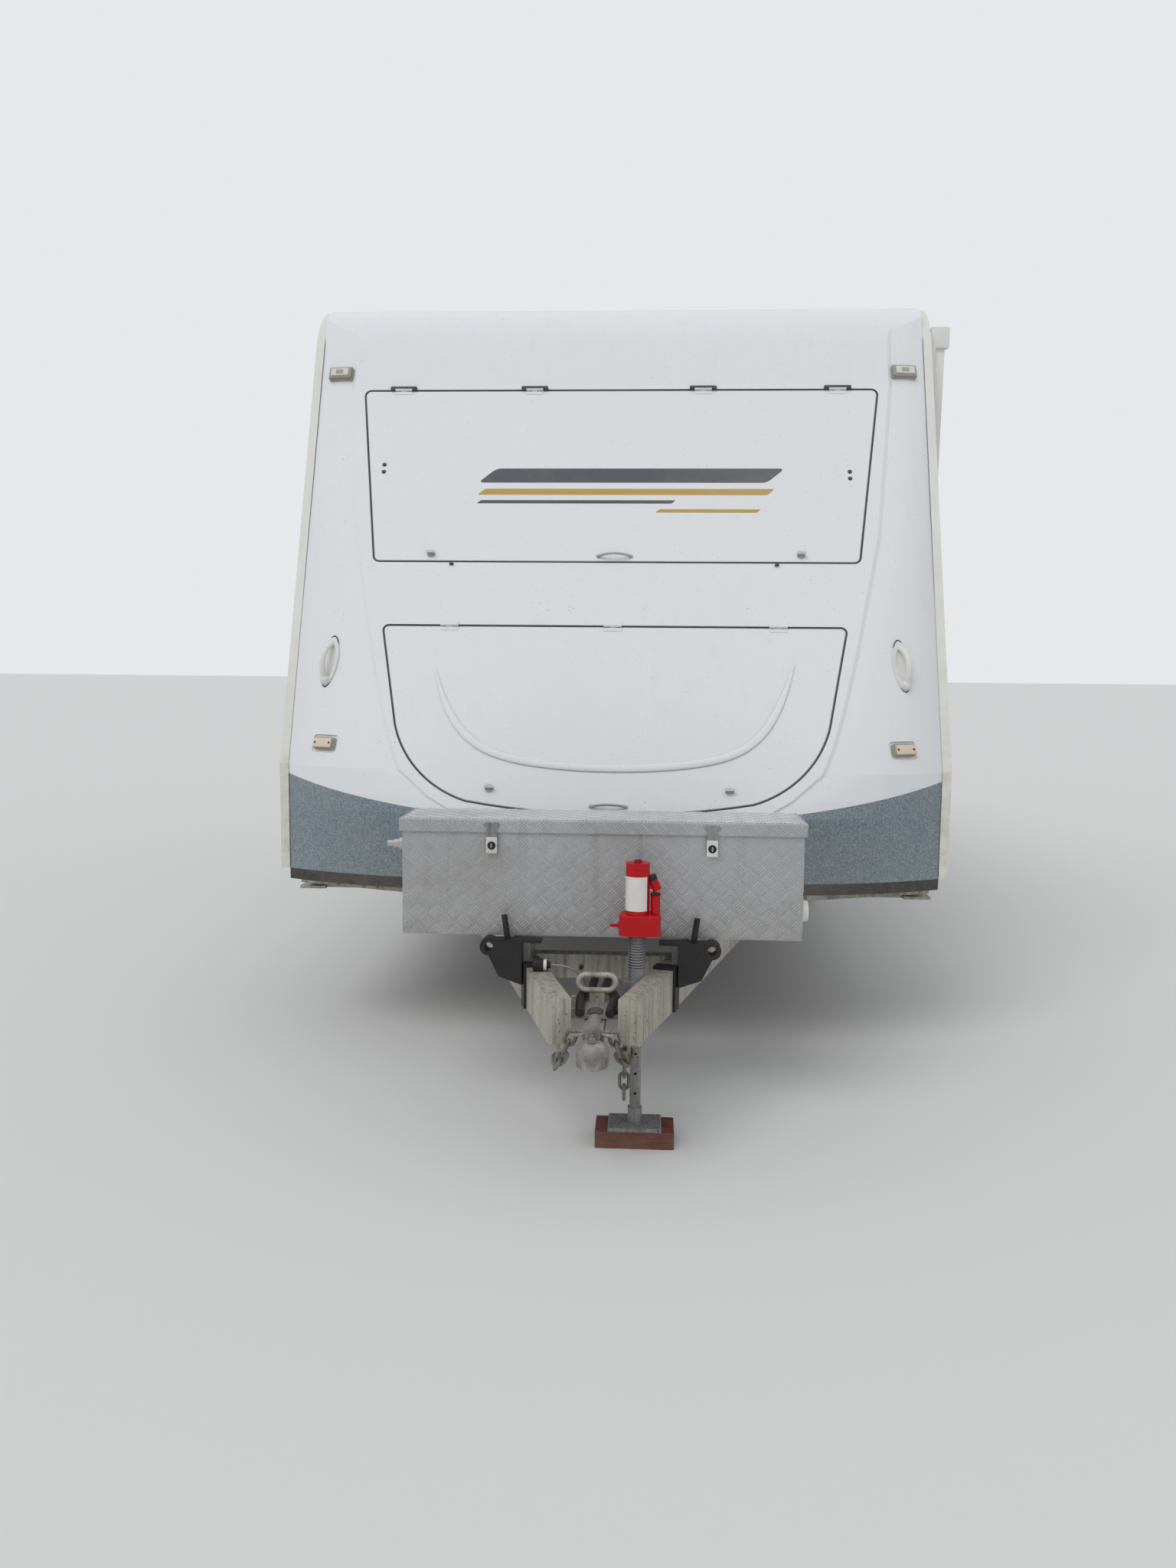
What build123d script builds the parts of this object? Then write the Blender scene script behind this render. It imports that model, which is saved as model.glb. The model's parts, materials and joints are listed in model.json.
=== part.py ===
from build123d import *

import os
from math import atan, cos, degrees, radians, sin, tan

os.makedirs("parts", exist_ok=True)

# Travel caravan with a tandem axle, standing on its wheels and its drawbar jack.
# Millimetres. +Z up, ground at z = 0, front towards -Y, entry side towards +X.
# The origin is on the ground, in the middle of the overall length and width.

# Driving dimensions of the whole trailer
overall_length = 7800.0
body_width = 2450.0
wheel_r = 350.0
body_over_axle = 290.0
body_height = 2230.0
ball_to_nose = 60.0
bumper_depth = 290.0
ball_y = -overall_length / 2 + ball_to_nose
half_width = body_width / 2
wall_bottom = wheel_r + body_over_axle
roof_z = wall_bottom + body_height

# Side profile of the body, with lengths from the coupling ball
body_front = ball_y + 1280.0
body_rear = overall_length / 2 - bumper_depth
knee_z = wall_bottom + 390.0
edge_lean = 0.345
front_arc_r = 300.0
rear_arc_r = 180.0
kick_up = 190.0
kick_length = 420.0
floor_rear = body_rear - kick_length

# Panel thicknesses and gaps
wall = 28.0
moulding = 30.0
cap_gauge = 60.0
roof_thick = 40.0
floor_thick = 40.0
seal_gap = 6.0
seat_gap = 0.3
inner_half = half_width - wall

# Front moulding: the flat raked centre, the step around it and the pillars that turn back
rake_slope = 0.448
chin_z = wall_bottom + 240.0
chin_y = ball_y + 1021.0
brow_z = wall_bottom + 1860.0
pillar_set_back = 42.0
step_back = 10.0
step_run = 16.0
roof_seam_y = ball_y + 2150.0

# Undercarriage
tyre_width = 205.0
tyre_inset = 150.0
tyre_x = half_width - tyre_inset
axle_y = 860.0
axle_spacing = 860.0
axle_ys = [axle_y - axle_spacing / 2, axle_y + axle_spacing / 2]
rail_height = 100.0
rail_width = 50.0
rail_x = 560.0
floor_bottom = wall_bottom - floor_thick
rail_bottom = floor_bottom - rail_height
drawbar_height = 125.0
drawbar_width = 62.0
drawbar_tip_x = 94.0
drawbar_tip_y = ball_y + 100.0
drawbar_angle = 16.0
drawbar_low = rail_bottom - drawbar_height

edge_angle = atan(edge_lean)
rake_angle = atan(rake_slope)


def rake_y(z):
    """Outer face of the raked centre of the front at height z."""
    return chin_y + (z - chin_z) * rake_slope


def edge_y(z):
    """Front edge of the side walls at height z."""
    return body_front + max(0.0, z - knee_z) * edge_lean


def rake_plane(z=chin_z, out=0.0):
    """Plane on the raked centre: local x is X, local y runs up the slope, local z points out."""
    length = (1 + rake_slope**2) ** 0.5
    normal = (0, -1 / length, rake_slope / length)
    origin = (0, rake_y(z) + normal[1] * out, z + normal[2] * out)
    return Plane(origin=origin, x_dir=(1, 0, 0), z_dir=normal)


def up(z):
    """Distance up the raked face from the chin to a height."""
    return (z - chin_z) / cos(rake_angle)


def place(piece, plane, x=0.0, y=0.0, z=0.0):
    """Copy of a piece moved from the origin to a point of a plane."""
    return piece.moved(plane.location * Location((x, y, z)))


def save(part, node):
    part.label = node
    export_step(part, f"parts/{node}.step")


def tube(size_x, size_z, gauge, length):
    """Rectangular hollow section along Y, centred on the origin."""
    with BuildPart() as section:
        with BuildSketch(Plane.XZ.offset(-length / 2)):
            Rectangle(size_x, size_z)
            Rectangle(size_x - 2 * gauge, size_z - 2 * gauge, mode=Mode.SUBTRACT)
        extrude(amount=length)
    return section.part


# Front moulding as one shell, before the hatches and the skirt are cut from it.
# The half width of the flat centre grows fast around the chin, like the letter U, then slowly.
# Columns: height above the lower edge of the walls, half width of the flat centre
crease_table = [(240, 520), (300, 629), (390, 738), (470, 774), (616, 821), (809, 873), (1243, 973), (1860, 1048)]
# Columns: height, face of the centre, half width of the flat centre, y of the outer edge
front_stations = [(wall_bottom, ball_y + 1100.0, 500.0, body_front)]
for above, crease in crease_table:
    height = wall_bottom + above
    edge = edge_y(height) if height < brow_z else rake_y(brow_z) + pillar_set_back
    front_stations.append((height, rake_y(height), crease, edge))


def front_curve(face, crease, edge):
    """Plan line of the front's outer face, from the -X edge to the +X edge."""
    turn_x = crease + step_run
    turn_y = face + step_back
    TangentArc((-turn_x, turn_y), (-inner_half, edge), tangent=(-1, 0))
    Line((-turn_x, turn_y), (-crease, face))
    Line((-crease, face), (crease, face))
    Line((crease, face), (turn_x, turn_y))
    TangentArc((turn_x, turn_y), (inner_half, edge), tangent=(1, 0))


with BuildPart() as front_lower:
    for height, face, crease, edge in front_stations:
        with BuildSketch(Plane.XY.offset(height)):
            with BuildLine():
                front_curve(face, crease, edge)
                front_curve(face + moulding, crease, edge + moulding)
                Line((-inner_half, edge), (-inner_half, edge + moulding))
                Line((inner_half, edge), (inner_half, edge + moulding))
            make_face()
    loft(ruled=True)


def crown_line(start_y, start_z, radius, roof, end_y):
    """Leaning line from a start point, an arc into the roof line, and the roof to end_y."""
    arc_z = roof - radius * (1 - sin(edge_angle))
    arc_y = start_y + (arc_z - start_z) * edge_lean
    roof_y = arc_y + radius * cos(edge_angle)
    Line((start_y, start_z), (arc_y, arc_z))
    TangentArc((arc_y, arc_z), (roof_y, roof), tangent=(edge_lean, 1))
    Line((roof_y, roof), (end_y, roof))


cap_thick = cap_gauge * cos(edge_angle)
brow_y = rake_y(brow_z)
cap_back = roof_seam_y + 200.0
with BuildPart() as front_cap:
    with BuildSketch(Plane.YZ.offset(-inner_half)):
        with BuildLine():
            crown_line(brow_y, brow_z, front_arc_r, roof_z, roof_seam_y)
            crown_line(brow_y + cap_gauge, brow_z, front_arc_r - cap_thick, roof_z - cap_thick, roof_seam_y)
            Line((brow_y, brow_z), (brow_y + cap_gauge, brow_z))
            Line((roof_seam_y, roof_z), (roof_seam_y, roof_z - cap_thick))
        make_face()
    extrude(amount=2 * inner_half)
    brow_face, brow_crease, brow_edge = front_stations[-1][1:]
    with BuildSketch(Plane.XY.offset(brow_z)):
        with BuildLine():
            front_curve(brow_face, brow_crease, brow_edge)
            Line((-inner_half, brow_edge), (-inner_half, cap_back))
            Line((-inner_half, cap_back), (inner_half, cap_back))
            Line((inner_half, cap_back), (inner_half, brow_edge))
        make_face()
    extrude(amount=roof_z - brow_z + 100, dir=(0, edge_lean, 1), mode=Mode.INTERSECT)

with BuildPart() as front_whole:
    add(front_lower.part)
    add(front_cap.part)


def front_y(x, z):
    """Outer face of the front at a point of the pillars."""
    z_low = min(z, brow_z)
    for low, high in zip(front_stations, front_stations[1:]):
        if low[0] <= z_low <= high[0]:
            share = (z_low - low[0]) / (high[0] - low[0])
            face, crease, edge = [a + (b - a) * share for a, b in zip(low[1:], high[1:])]
    run = max(0.0, abs(x) - crease - step_run)
    width = inner_half - crease - step_run
    depth = edge - face - step_back
    radius = (width**2 + depth**2) / (2 * depth)
    return face + step_back + radius - (radius**2 - run**2) ** 0.5 + (z - z_low) * edge_lean


def front_plane(x, z):
    """Plane on the pillars' outer face: local y runs up, local z points out."""
    reach = 4.0
    across = Vector(2 * reach, front_y(x + reach, z) - front_y(x - reach, z), 0)
    rise = Vector(0, front_y(x, z + reach) - front_y(x, z - reach), 2 * reach)
    return Plane(origin=(x, front_y(x, z), z), x_dir=across, z_dir=across.cross(rise))


# Outlines on the raked face
upper_top_z = wall_bottom + 1837.0
upper_bottom_z = wall_bottom + 1148.0
upper_half_top = 1003.0
upper_half_bottom = 903.0
upper_corner_r = 22.0
lower_top_z = wall_bottom + 903.0
lower_bottom_z = wall_bottom + 250.0
lower_half_top = 846.0
lower_corner_r = 18.0
cover_thick = 20.0
lid_thick = 25.0
edge_round = 3.0
outwards = Axis((0, 0, 0), rake_plane().z_dir)


def upper_outline(grow=0.0):
    """Window cover outline, up the rake from the chin, grown by a margin."""
    with BuildSketch(rake_plane()) as outline:
        Polygon(
            (-upper_half_top, up(upper_top_z)),
            (upper_half_top, up(upper_top_z)),
            (upper_half_bottom, up(upper_bottom_z)),
            (-upper_half_bottom, up(upper_bottom_z)),
            align=None,
        )
        fillet(outline.vertices(), upper_corner_r)
        if grow:
            offset(amount=grow)
    return outline.sketch


def lower_outline(grow=0.0):
    """Boot lid outline: straight top, sides that lean in, round corners, shallow bottom arc."""
    side = (770, up(wall_bottom + 550))
    corner = (680, up(wall_bottom + 396))
    turn = (500, up(wall_bottom + 290))
    top = (lower_half_top, up(lower_top_z))
    with BuildSketch(rake_plane()) as outline:
        with BuildLine():
            Line((-top[0], top[1]), top)
            Line(top, side)
            ThreePointArc(side, corner, turn)
            ThreePointArc(turn, (0, up(lower_bottom_z)), (-turn[0], turn[1]))
            ThreePointArc((-turn[0], turn[1]), (-corner[0], corner[1]), (-side[0], side[1]))
            Line((-side[0], side[1]), (-top[0], top[1]))
        make_face()
        fillet(outline.vertices().group_by(Axis.Z)[-1], lower_corner_r)
        if grow:
            offset(amount=grow)
    return outline.sketch


skirt_centre_z = wall_bottom + 215.0
skirt_edge_z = wall_bottom + 363.0

# Everything below the line between the moulding and the grey skirt
with BuildPart() as skirt_zone:
    with BuildSketch(Plane.XZ.offset(-roof_seam_y)):
        with BuildLine():
            ThreePointArc((-half_width, skirt_edge_z), (0, skirt_centre_z), (half_width, skirt_edge_z))
            Line((half_width, skirt_edge_z), (half_width, 0))
            Line((half_width, 0), (-half_width, 0))
            Line((-half_width, 0), (-half_width, skirt_edge_z))
        make_face()
    extrude(amount=roof_seam_y - ball_y)

# Pockets for the lower marker lamps, with the lamps' places on the pillars
# Columns: x from the middle, height above the walls' lower edge, lens width, lens height
upper_lamp = (1109.0, wall_bottom + 1910.0, 92.0, 46.0)
lower_lamp = (1037.0, wall_bottom + 473.0, 86.0, 38.0)
pocket_margin = 14.0
pocket_depth = 8.0
hole_reach = 90.0
with BuildPart() as lamp_pockets:
    for side in (-1, 1):
        x, z, width, height = lower_lamp
        plane = front_plane(side * x, z)
        with BuildSketch(Plane(origin=plane.origin - plane.z_dir * pocket_depth, x_dir=plane.x_dir, z_dir=plane.z_dir)):
            RectangleRounded(width + 2 * pocket_margin, height + 2 * pocket_margin, pocket_margin)
        extrude(amount=pocket_depth + moulding)

with BuildPart() as upper_hole:
    extrude(upper_outline(seal_gap), amount=hole_reach, both=True)
with BuildPart() as lower_hole:
    extrude(lower_outline(seal_gap), amount=hole_reach, both=True)

with BuildPart() as front_moulding:
    add(front_whole.part)
    add(skirt_zone.part, mode=Mode.SUBTRACT)
    add(upper_hole.part, mode=Mode.SUBTRACT)
    add(lower_hole.part, mode=Mode.SUBTRACT)
    add(lamp_pockets.part, mode=Mode.SUBTRACT)
save(front_moulding.part, "front_moulding")

with BuildPart() as front_skirt:
    add(front_whole.part)
    add(skirt_zone.part, mode=Mode.INTERSECT)
save(front_skirt.part, "front_skirt")


# Hinges. Local x is the pin, local y points to the carrying side, local z points outwards.
# The fixed half has two end knuckles and the pin, the moving half has the middle knuckle.
def hinge_half(moving, length, knuckle_r, pin_r, leaf_width, leaf_thick):
    third = length / 3
    side = -1 if moving else 1
    clear = knuckle_r + 1.0
    leaf_z = leaf_thick / 2 - knuckle_r
    knuckles = [(0, third - 1.0)] if moving else [(-third, third), (third, third)]
    with BuildPart() as half:
        with Locations((0, side * (clear + leaf_width) / 2, leaf_z)):
            Box(length, leaf_width - clear, leaf_thick)
        for centre, span in knuckles:
            with Locations((centre, side * clear / 2, leaf_z)):
                Box(span, clear, leaf_thick)
            with Locations(Plane.YZ.offset(centre)):
                Cylinder(knuckle_r, span)
        with Locations(Plane.YZ):
            if moving:
                Cylinder(pin_r + seat_gap, length, mode=Mode.SUBTRACT)
            else:
                Cylinder(pin_r, length)
    return half.part


# Columns of a hinge: length, knuckle radius, pin radius, leaf width, leaf thickness
hatch_hinge = (66.0, 6.0, 3.0, 20.0, 2.5)
hatch_leaf = hinge_half(True, *hatch_hinge)
upper_hinge_x = [-850.0, -330.0, 330.0, 850.0]
lower_hinge_x = [-600.0, 0.0, 600.0]
upper_hinge = rake_plane(upper_top_z + seal_gap / 2 * cos(rake_angle), hatch_hinge[1])
lower_hinge = rake_plane(lower_top_z + seal_gap / 2 * cos(rake_angle), hatch_hinge[1])

with BuildPart() as upper_hatch:
    extrude(upper_outline(), amount=-cover_thick)
    chamfer(upper_hatch.faces().sort_by(outwards)[-1].edges(), edge_round)
    for x in upper_hinge_x:
        add(place(hatch_leaf, upper_hinge, x))
save(upper_hatch.part, "upper_hatch")

# Raised panel on the boot lid: a U that stands proud at the bottom and fades out towards the top
panel_top = up(wall_bottom + 810)
panel_low = up(wall_bottom + 397)
panel_rise = 6.0
panel_root = 1.0
panel_taper = 40.0
panel_side = (655, up(wall_bottom + 745))
panel_corner = (555, up(wall_bottom + 560))
panel_turn = (380, up(wall_bottom + 442))
with BuildPart() as lid_panel:
    with BuildSketch(Plane.XY.offset(-panel_root)):
        with BuildLine():
            Line((-690, panel_top), (690, panel_top))
            Line((690, panel_top), panel_side)
            ThreePointArc(panel_side, panel_corner, panel_turn)
            ThreePointArc(panel_turn, (0, panel_low), (-panel_turn[0], panel_turn[1]))
            ThreePointArc(
                (-panel_turn[0], panel_turn[1]), (-panel_corner[0], panel_corner[1]), (-panel_side[0], panel_side[1])
            )
            Line((-panel_side[0], panel_side[1]), (-690, panel_top))
        make_face()
    extrude(amount=panel_rise + panel_root, taper=panel_taper)
    with BuildSketch(Plane.YZ.offset(-lower_half_top)):
        Polygon(
            (panel_low, panel_rise),
            (panel_top, 0),
            (panel_top, 3 * panel_rise),
            (panel_low, 3 * panel_rise),
            align=None,
        )
    extrude(amount=2 * lower_half_top, mode=Mode.SUBTRACT)

with BuildPart() as lower_hatch:
    extrude(lower_outline(), amount=-lid_thick)
    chamfer(lower_hatch.faces().sort_by(outwards)[-1].edges(), edge_round)
    add(place(lid_panel.part, rake_plane()))
    for x in lower_hinge_x:
        add(place(hatch_leaf, lower_hinge, x))
save(lower_hatch.part, "lower_hatch")


# Locks and pulls of the hatches: two wing locks on round plates, and a bow handle
def wing_lock():
    """Lock on the XY plane: round plate, barrel and wing knob."""
    with BuildPart() as lock:
        Cylinder(15, 4, align=(Align.CENTER, Align.CENTER, Align.MIN))
        Cylinder(9, 12, align=(Align.CENTER, Align.CENTER, Align.MIN))
        with BuildSketch(Plane.XY.offset(12)):
            SlotOverall(34, 10)
        extrude(amount=9)
    return lock.part


def bow_handle(length, rise, bar_r):
    """Bow on the XY plane: round bar in an arc between two feet."""
    with BuildPart() as bow:
        with BuildLine(Plane.XZ) as path:
            ThreePointArc((-length / 2, 0), (0, rise), (length / 2, 0))
        with BuildSketch(Plane(origin=path.wire() @ 0, z_dir=path.wire() % 0)):
            Circle(bar_r)
        sweep(path=path.wire())
        with Locations(*[(side * (length / 2 - bar_r), 0, 0) for side in (-1, 1)]):
            Cylinder(1.6 * bar_r, 3, align=(Align.CENTER, Align.CENTER, Align.MIN))
        with BuildSketch(Plane.XY.offset(0)):
            Rectangle(2 * length, 2 * length)
        extrude(amount=-2 * rise, mode=Mode.SUBTRACT)
    return bow.part


wing = wing_lock()
bow = bow_handle(131.0, 26.0, 5.0)
# Columns: node, x of the locks, height of the locks, height of the bow
hatch_lock_places = [
    ("upper_hatch_locks", 690.0, wall_bottom + 1175.0, wall_bottom + 1167.0),
    ("lower_hatch_locks", 419.0, wall_bottom + 332.0, wall_bottom + 275.0),
]
for node, lock_x, lock_z, bow_z in hatch_lock_places:
    with BuildPart() as hatch_locks:
        for side in (-1, 1):
            add(place(wing, rake_plane(lock_z), side * lock_x))
        add(place(bow, rake_plane(bow_z)))
    save(hatch_locks.part, node)

# Fixed surround behind the window cover, with the front window in it
surround_thick = 22.0
surround_lap = 24.0
surround_back = moulding * cos(rake_angle)
window_half_width = 780.0
window_low_z = wall_bottom + 1250.0
window_high_z = wall_bottom + 1740.0
front_window_r = 70.0
frame_width = 36.0
pane_thick = 8.0


def window_outline(half, low, high, radius):
    """Rounded window outline on the rake, between two heights."""
    with BuildSketch(rake_plane()) as outline:
        with Locations((0, (up(low) + up(high)) / 2)):
            RectangleRounded(2 * half, up(high) - up(low), radius)
    return outline.sketch


def behind(depth):
    """Move inwards from the raked face by a depth."""
    return Location(rake_plane().z_dir * -depth)


front_window = window_outline(window_half_width, window_low_z, window_high_z, front_window_r)
with BuildPart() as front_window_hole:
    extrude(front_window, amount=hole_reach, both=True)
with BuildPart() as front_window_frame:
    extrude(upper_outline(surround_lap).moved(behind(surround_back)), amount=-surround_thick)
    add(front_window_hole.part, mode=Mode.SUBTRACT)
save(front_window_frame.part, "front_window_frame")

# Side walls, with the windows, the doorway and the wheel arch cut
arch_clear = 70.0
arch_low_y = axle_ys[0] - wheel_r - arch_clear
arch_high_y = axle_ys[1] + wheel_r + arch_clear
arch_mid_y = (arch_low_y + arch_high_y) / 2
arch_z = 2 * wheel_r + 95.0
arch_r = 150.0
arch_depth = 800.0
door_y = body_rear - 1170.0
door_width = 640.0
door_low_z = wall_bottom + 50.0
door_high_z = wall_bottom + 1840.0
door_centre_z = (door_low_z + door_high_z) / 2
door_height = door_high_z - door_low_z
door_r = 60.0
door_gap = 6.0
window_z = wall_bottom + 1350.0
window_r = 60.0
front_window_y = body_front + 1210.0
# Columns: side (+1 entry side), centre y, centre z, width, height
side_windows = [
    (1, front_window_y, window_z, 760.0, 520.0),
    (1, axle_y, window_z, 1250.0, 560.0),
    (-1, front_window_y, window_z, 760.0, 520.0),
    (-1, axle_y - 100.0, window_z, 1500.0, 560.0),
    (-1, body_rear - 660.0, window_z + 130.0, 420.0, 320.0),
]


def wall_outline(grow=0.0):
    """Side profile of the body in the YZ plane, grown outwards by a margin."""
    arc_z = roof_z - front_arc_r * (1 - sin(edge_angle))
    arc_y = edge_y(arc_z)
    roof_y = arc_y + front_arc_r * cos(edge_angle)
    rear_arc_z = roof_z - rear_arc_r
    with BuildSketch(Plane.YZ) as outline:
        with BuildLine():
            Line((body_front, wall_bottom), (body_front, knee_z))
            Line((body_front, knee_z), (arc_y, arc_z))
            TangentArc((arc_y, arc_z), (roof_y, roof_z), tangent=(edge_lean, 1))
            Line((roof_y, roof_z), (body_rear - rear_arc_r, roof_z))
            TangentArc((body_rear - rear_arc_r, roof_z), (body_rear, rear_arc_z), tangent=(1, 0))
            Line((body_rear, rear_arc_z), (body_rear, wall_bottom + kick_up))
            Line((body_rear, wall_bottom + kick_up), (floor_rear, wall_bottom))
            Line((floor_rear, wall_bottom), (body_front, wall_bottom))
        make_face()
        if grow:
            offset(amount=grow)
    return outline.sketch


def arch_outline(grow=0.0):
    """Wheel arch opening over both wheels of one side."""
    with BuildSketch(Plane.YZ) as outline:
        with Locations((arch_mid_y, arch_z - arch_depth / 2)):
            RectangleRounded(arch_high_y - arch_low_y + 2 * grow, arch_depth + 2 * grow, arch_r + grow)
    return outline.sketch


def window_shape(y, z, width, height, radius, grow=0.0):
    """Rounded window or door outline in the YZ plane."""
    with BuildSketch(Plane.YZ) as outline:
        with Locations((y, z)):
            RectangleRounded(width + 2 * grow, height + 2 * grow, radius + grow)
    return outline.sketch


def at_x(x):
    return Location((x, 0, 0))


def wall_base(side):
    """Lower X face of a side wall."""
    return at_x(-half_width if side < 0 else inner_half)


doorway = window_shape(door_y, door_centre_z, door_width, door_height, door_r, door_gap)
for side, name in [(1, "side_wall_left"), (-1, "side_wall_right")]:
    with BuildPart() as side_wall:
        extrude(wall_outline().moved(wall_base(side)), amount=wall)
        extrude(arch_outline().moved(wall_base(side)), amount=wall, mode=Mode.SUBTRACT)
        for window_side, y, z, width, height in side_windows:
            if window_side == side:
                hole = window_shape(y, z, width, height, window_r)
                extrude(hole.moved(wall_base(side)), amount=wall, mode=Mode.SUBTRACT)
        if side > 0:
            extrude(doorway.moved(wall_base(side)), amount=wall, mode=Mode.SUBTRACT)
    save(side_wall.part, name)

# Trim moulds over the front, roof and rear edges of the side walls, and around the wheel arches
trim_proud = 5.0
trim_lap = 4.0
trim_width = wall + trim_lap
arch_trim_width = 26.0
arch_trim_proud = 8.0
with BuildPart() as arch_trims:
    for side in (-1, 1):
        base = at_x(-half_width - arch_trim_proud if side < 0 else half_width)
        extrude(arch_outline(arch_trim_width).moved(base), amount=arch_trim_proud)
        extrude(arch_outline().moved(base), amount=arch_trim_proud, mode=Mode.SUBTRACT)
with BuildPart() as side_trims:
    for side in (-1, 1):
        base = at_x(-half_width - trim_lap if side < 0 else inner_half)
        extrude(wall_outline(trim_proud).moved(base), amount=trim_width)
        extrude(wall_outline().moved(base), amount=trim_width, mode=Mode.SUBTRACT)
    add(arch_trims.part)
    with Locations((0, 0, wall_bottom - arch_depth)):
        Box(body_width + 100, overall_length, 2 * arch_depth, mode=Mode.SUBTRACT)
save(side_trims.part, "side_trims")

# Roof sheet, rear wall and floor
rear_roof_y = body_rear - rear_arc_r
roof_length = rear_roof_y - roof_seam_y
hatch_hole = 360.0
roof_hatches = [(-950.0, ball_y + 2480.0), (0.0, door_y - 140.0)]
with BuildPart() as roof:
    with Locations((0, roof_seam_y + roof_length / 2, roof_z - roof_thick / 2)):
        Box(2 * inner_half, roof_length, roof_thick)
    with Locations(*[(x, y, roof_z) for x, y in roof_hatches]):
        Box(hatch_hole, hatch_hole, 3 * roof_thick, mode=Mode.SUBTRACT)
save(roof.part, "roof")

rear_inner_y = body_rear - moulding
with BuildPart() as rear_wall:
    with BuildSketch(Plane.YZ.offset(-inner_half)):
        with BuildLine():
            TangentArc((rear_roof_y, roof_z), (body_rear, roof_z - rear_arc_r), tangent=(1, 0))
            Line((body_rear, roof_z - rear_arc_r), (body_rear, wall_bottom + kick_up))
            Line((body_rear, wall_bottom + kick_up), (rear_inner_y, wall_bottom + kick_up))
            Line((rear_inner_y, wall_bottom + kick_up), (rear_inner_y, roof_z - rear_arc_r))
            TangentArc((rear_inner_y, roof_z - rear_arc_r), (rear_roof_y, roof_z - moulding), tangent=(0, 1))
            Line((rear_roof_y, roof_z - moulding), (rear_roof_y, roof_z))
        make_face()
    extrude(amount=2 * inner_half)
save(rear_wall.part, "rear_wall")

tub_inner_x = tyre_x - tyre_width / 2 - 42.5
tub_gauge = 6.0
kick_thick = 90.0
with BuildPart() as floor:
    with BuildSketch(Plane.XY.offset(floor_bottom)):
        with BuildLine():
            front_curve(front_stations[0][1], front_stations[0][2], body_front)
            Line((-inner_half, body_front), (-inner_half, floor_rear))
            Line((-inner_half, floor_rear), (inner_half, floor_rear))
            Line((inner_half, floor_rear), (inner_half, body_front))
        make_face()
        with Locations(*[(side * (tub_inner_x + inner_half) / 2, arch_mid_y) for side in (-1, 1)]):
            Rectangle(inner_half - tub_inner_x, arch_high_y - arch_low_y, mode=Mode.SUBTRACT)
    extrude(amount=floor_thick)
    with BuildSketch(Plane.YZ.offset(-inner_half)):
        Polygon(
            (floor_rear, wall_bottom),
            (body_rear, wall_bottom + kick_up),
            (rear_inner_y - kick_thick, wall_bottom + kick_up),
            (floor_rear - kick_thick, wall_bottom),
            align=None,
        )
    extrude(amount=2 * inner_half)
save(floor.part, "floor")

# Wheel tubs inside the body, over each pair of wheels
tub_length = arch_high_y - arch_low_y
tub_width = inner_half - tub_inner_x
with BuildPart() as wheel_tubs:
    for side in (-1, 1):
        middle = side * (tub_inner_x + inner_half) / 2
        with Locations((middle, arch_mid_y, (floor_bottom + arch_z) / 2)):
            Box(tub_width, tub_length, arch_z - floor_bottom)
        with Locations((middle + side * tub_gauge / 2, arch_mid_y, (floor_bottom + arch_z - tub_gauge) / 2)):
            Box(
                tub_width - tub_gauge,
                tub_length - 2 * tub_gauge,
                arch_z - floor_bottom - tub_gauge,
                mode=Mode.SUBTRACT,
            )
save(wheel_tubs.part, "wheel_tubs")

# Front boot: bulkhead towards the cabin and the deck over it
bulkhead_y = ball_y + 1950.0
boot_deck_z = wall_bottom + 1000.0
board = 18.0
deck_front = rake_y(boot_deck_z + board) + moulding + 130
deck_inset = 100.0
with BuildPart() as front_bulkhead:
    with Locations((0, bulkhead_y - board / 2, (wall_bottom + boot_deck_z) / 2)):
        Box(2 * inner_half, board, boot_deck_z - wall_bottom)
    with Locations((0, (bulkhead_y + deck_front) / 2, boot_deck_z + board / 2)):
        Box(2 * (inner_half - deck_inset), bulkhead_y - deck_front, board)
save(front_bulkhead.part, "front_bulkhead")

# Chassis: two rails, cross members, outriggers, and what hangs from them
rail_front = body_front - 40.0
rail_rear = body_rear + 30.0
rail_z = rail_bottom + rail_height / 2
rail_gauge = 3.0
rail_side = rail_x + rail_width / 2
cross_ys = [body_front + 160.0, axle_y - 2060.0, axle_y - 940.0, axle_y + 1000.0, floor_rear - 100.0]
cross_size = 50.0
outrigger_root = 90.0
outrigger_tip = 40.0
bumper_size = 50.0
bumper_width = 2200.0
post_width = 80.0
post_top = wall_bottom + 400.0
step_z = floor_bottom - 130.0
step_half = 250.0
step_depth = 320.0
step_thick = 28.0
step_travel = 280.0
step_x = half_width - 205.0
guide_gap = 20.0
guide_gauge = 6.0
guide_width = 340.0
guide_x = step_x - 10.0
steady_pivot_x = 760.0
steady_z = floor_bottom - 55.0
steady_size = 36.0
steady_pin_r = 6.0
ear = 8.0
ear_low = floor_bottom - 80.0
ear_width = 50.0
steady_gap = 1.0
steadies = [
    (f"steady_{end}_{name}", side, y)
    for end, y in (("front", body_front + 230.0), ("rear", floor_rear - 170.0))
    for name, side in (("left", 1), ("right", -1))
]
rail_tube = tube(rail_width, rail_height, rail_gauge, rail_rear - rail_front)
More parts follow.
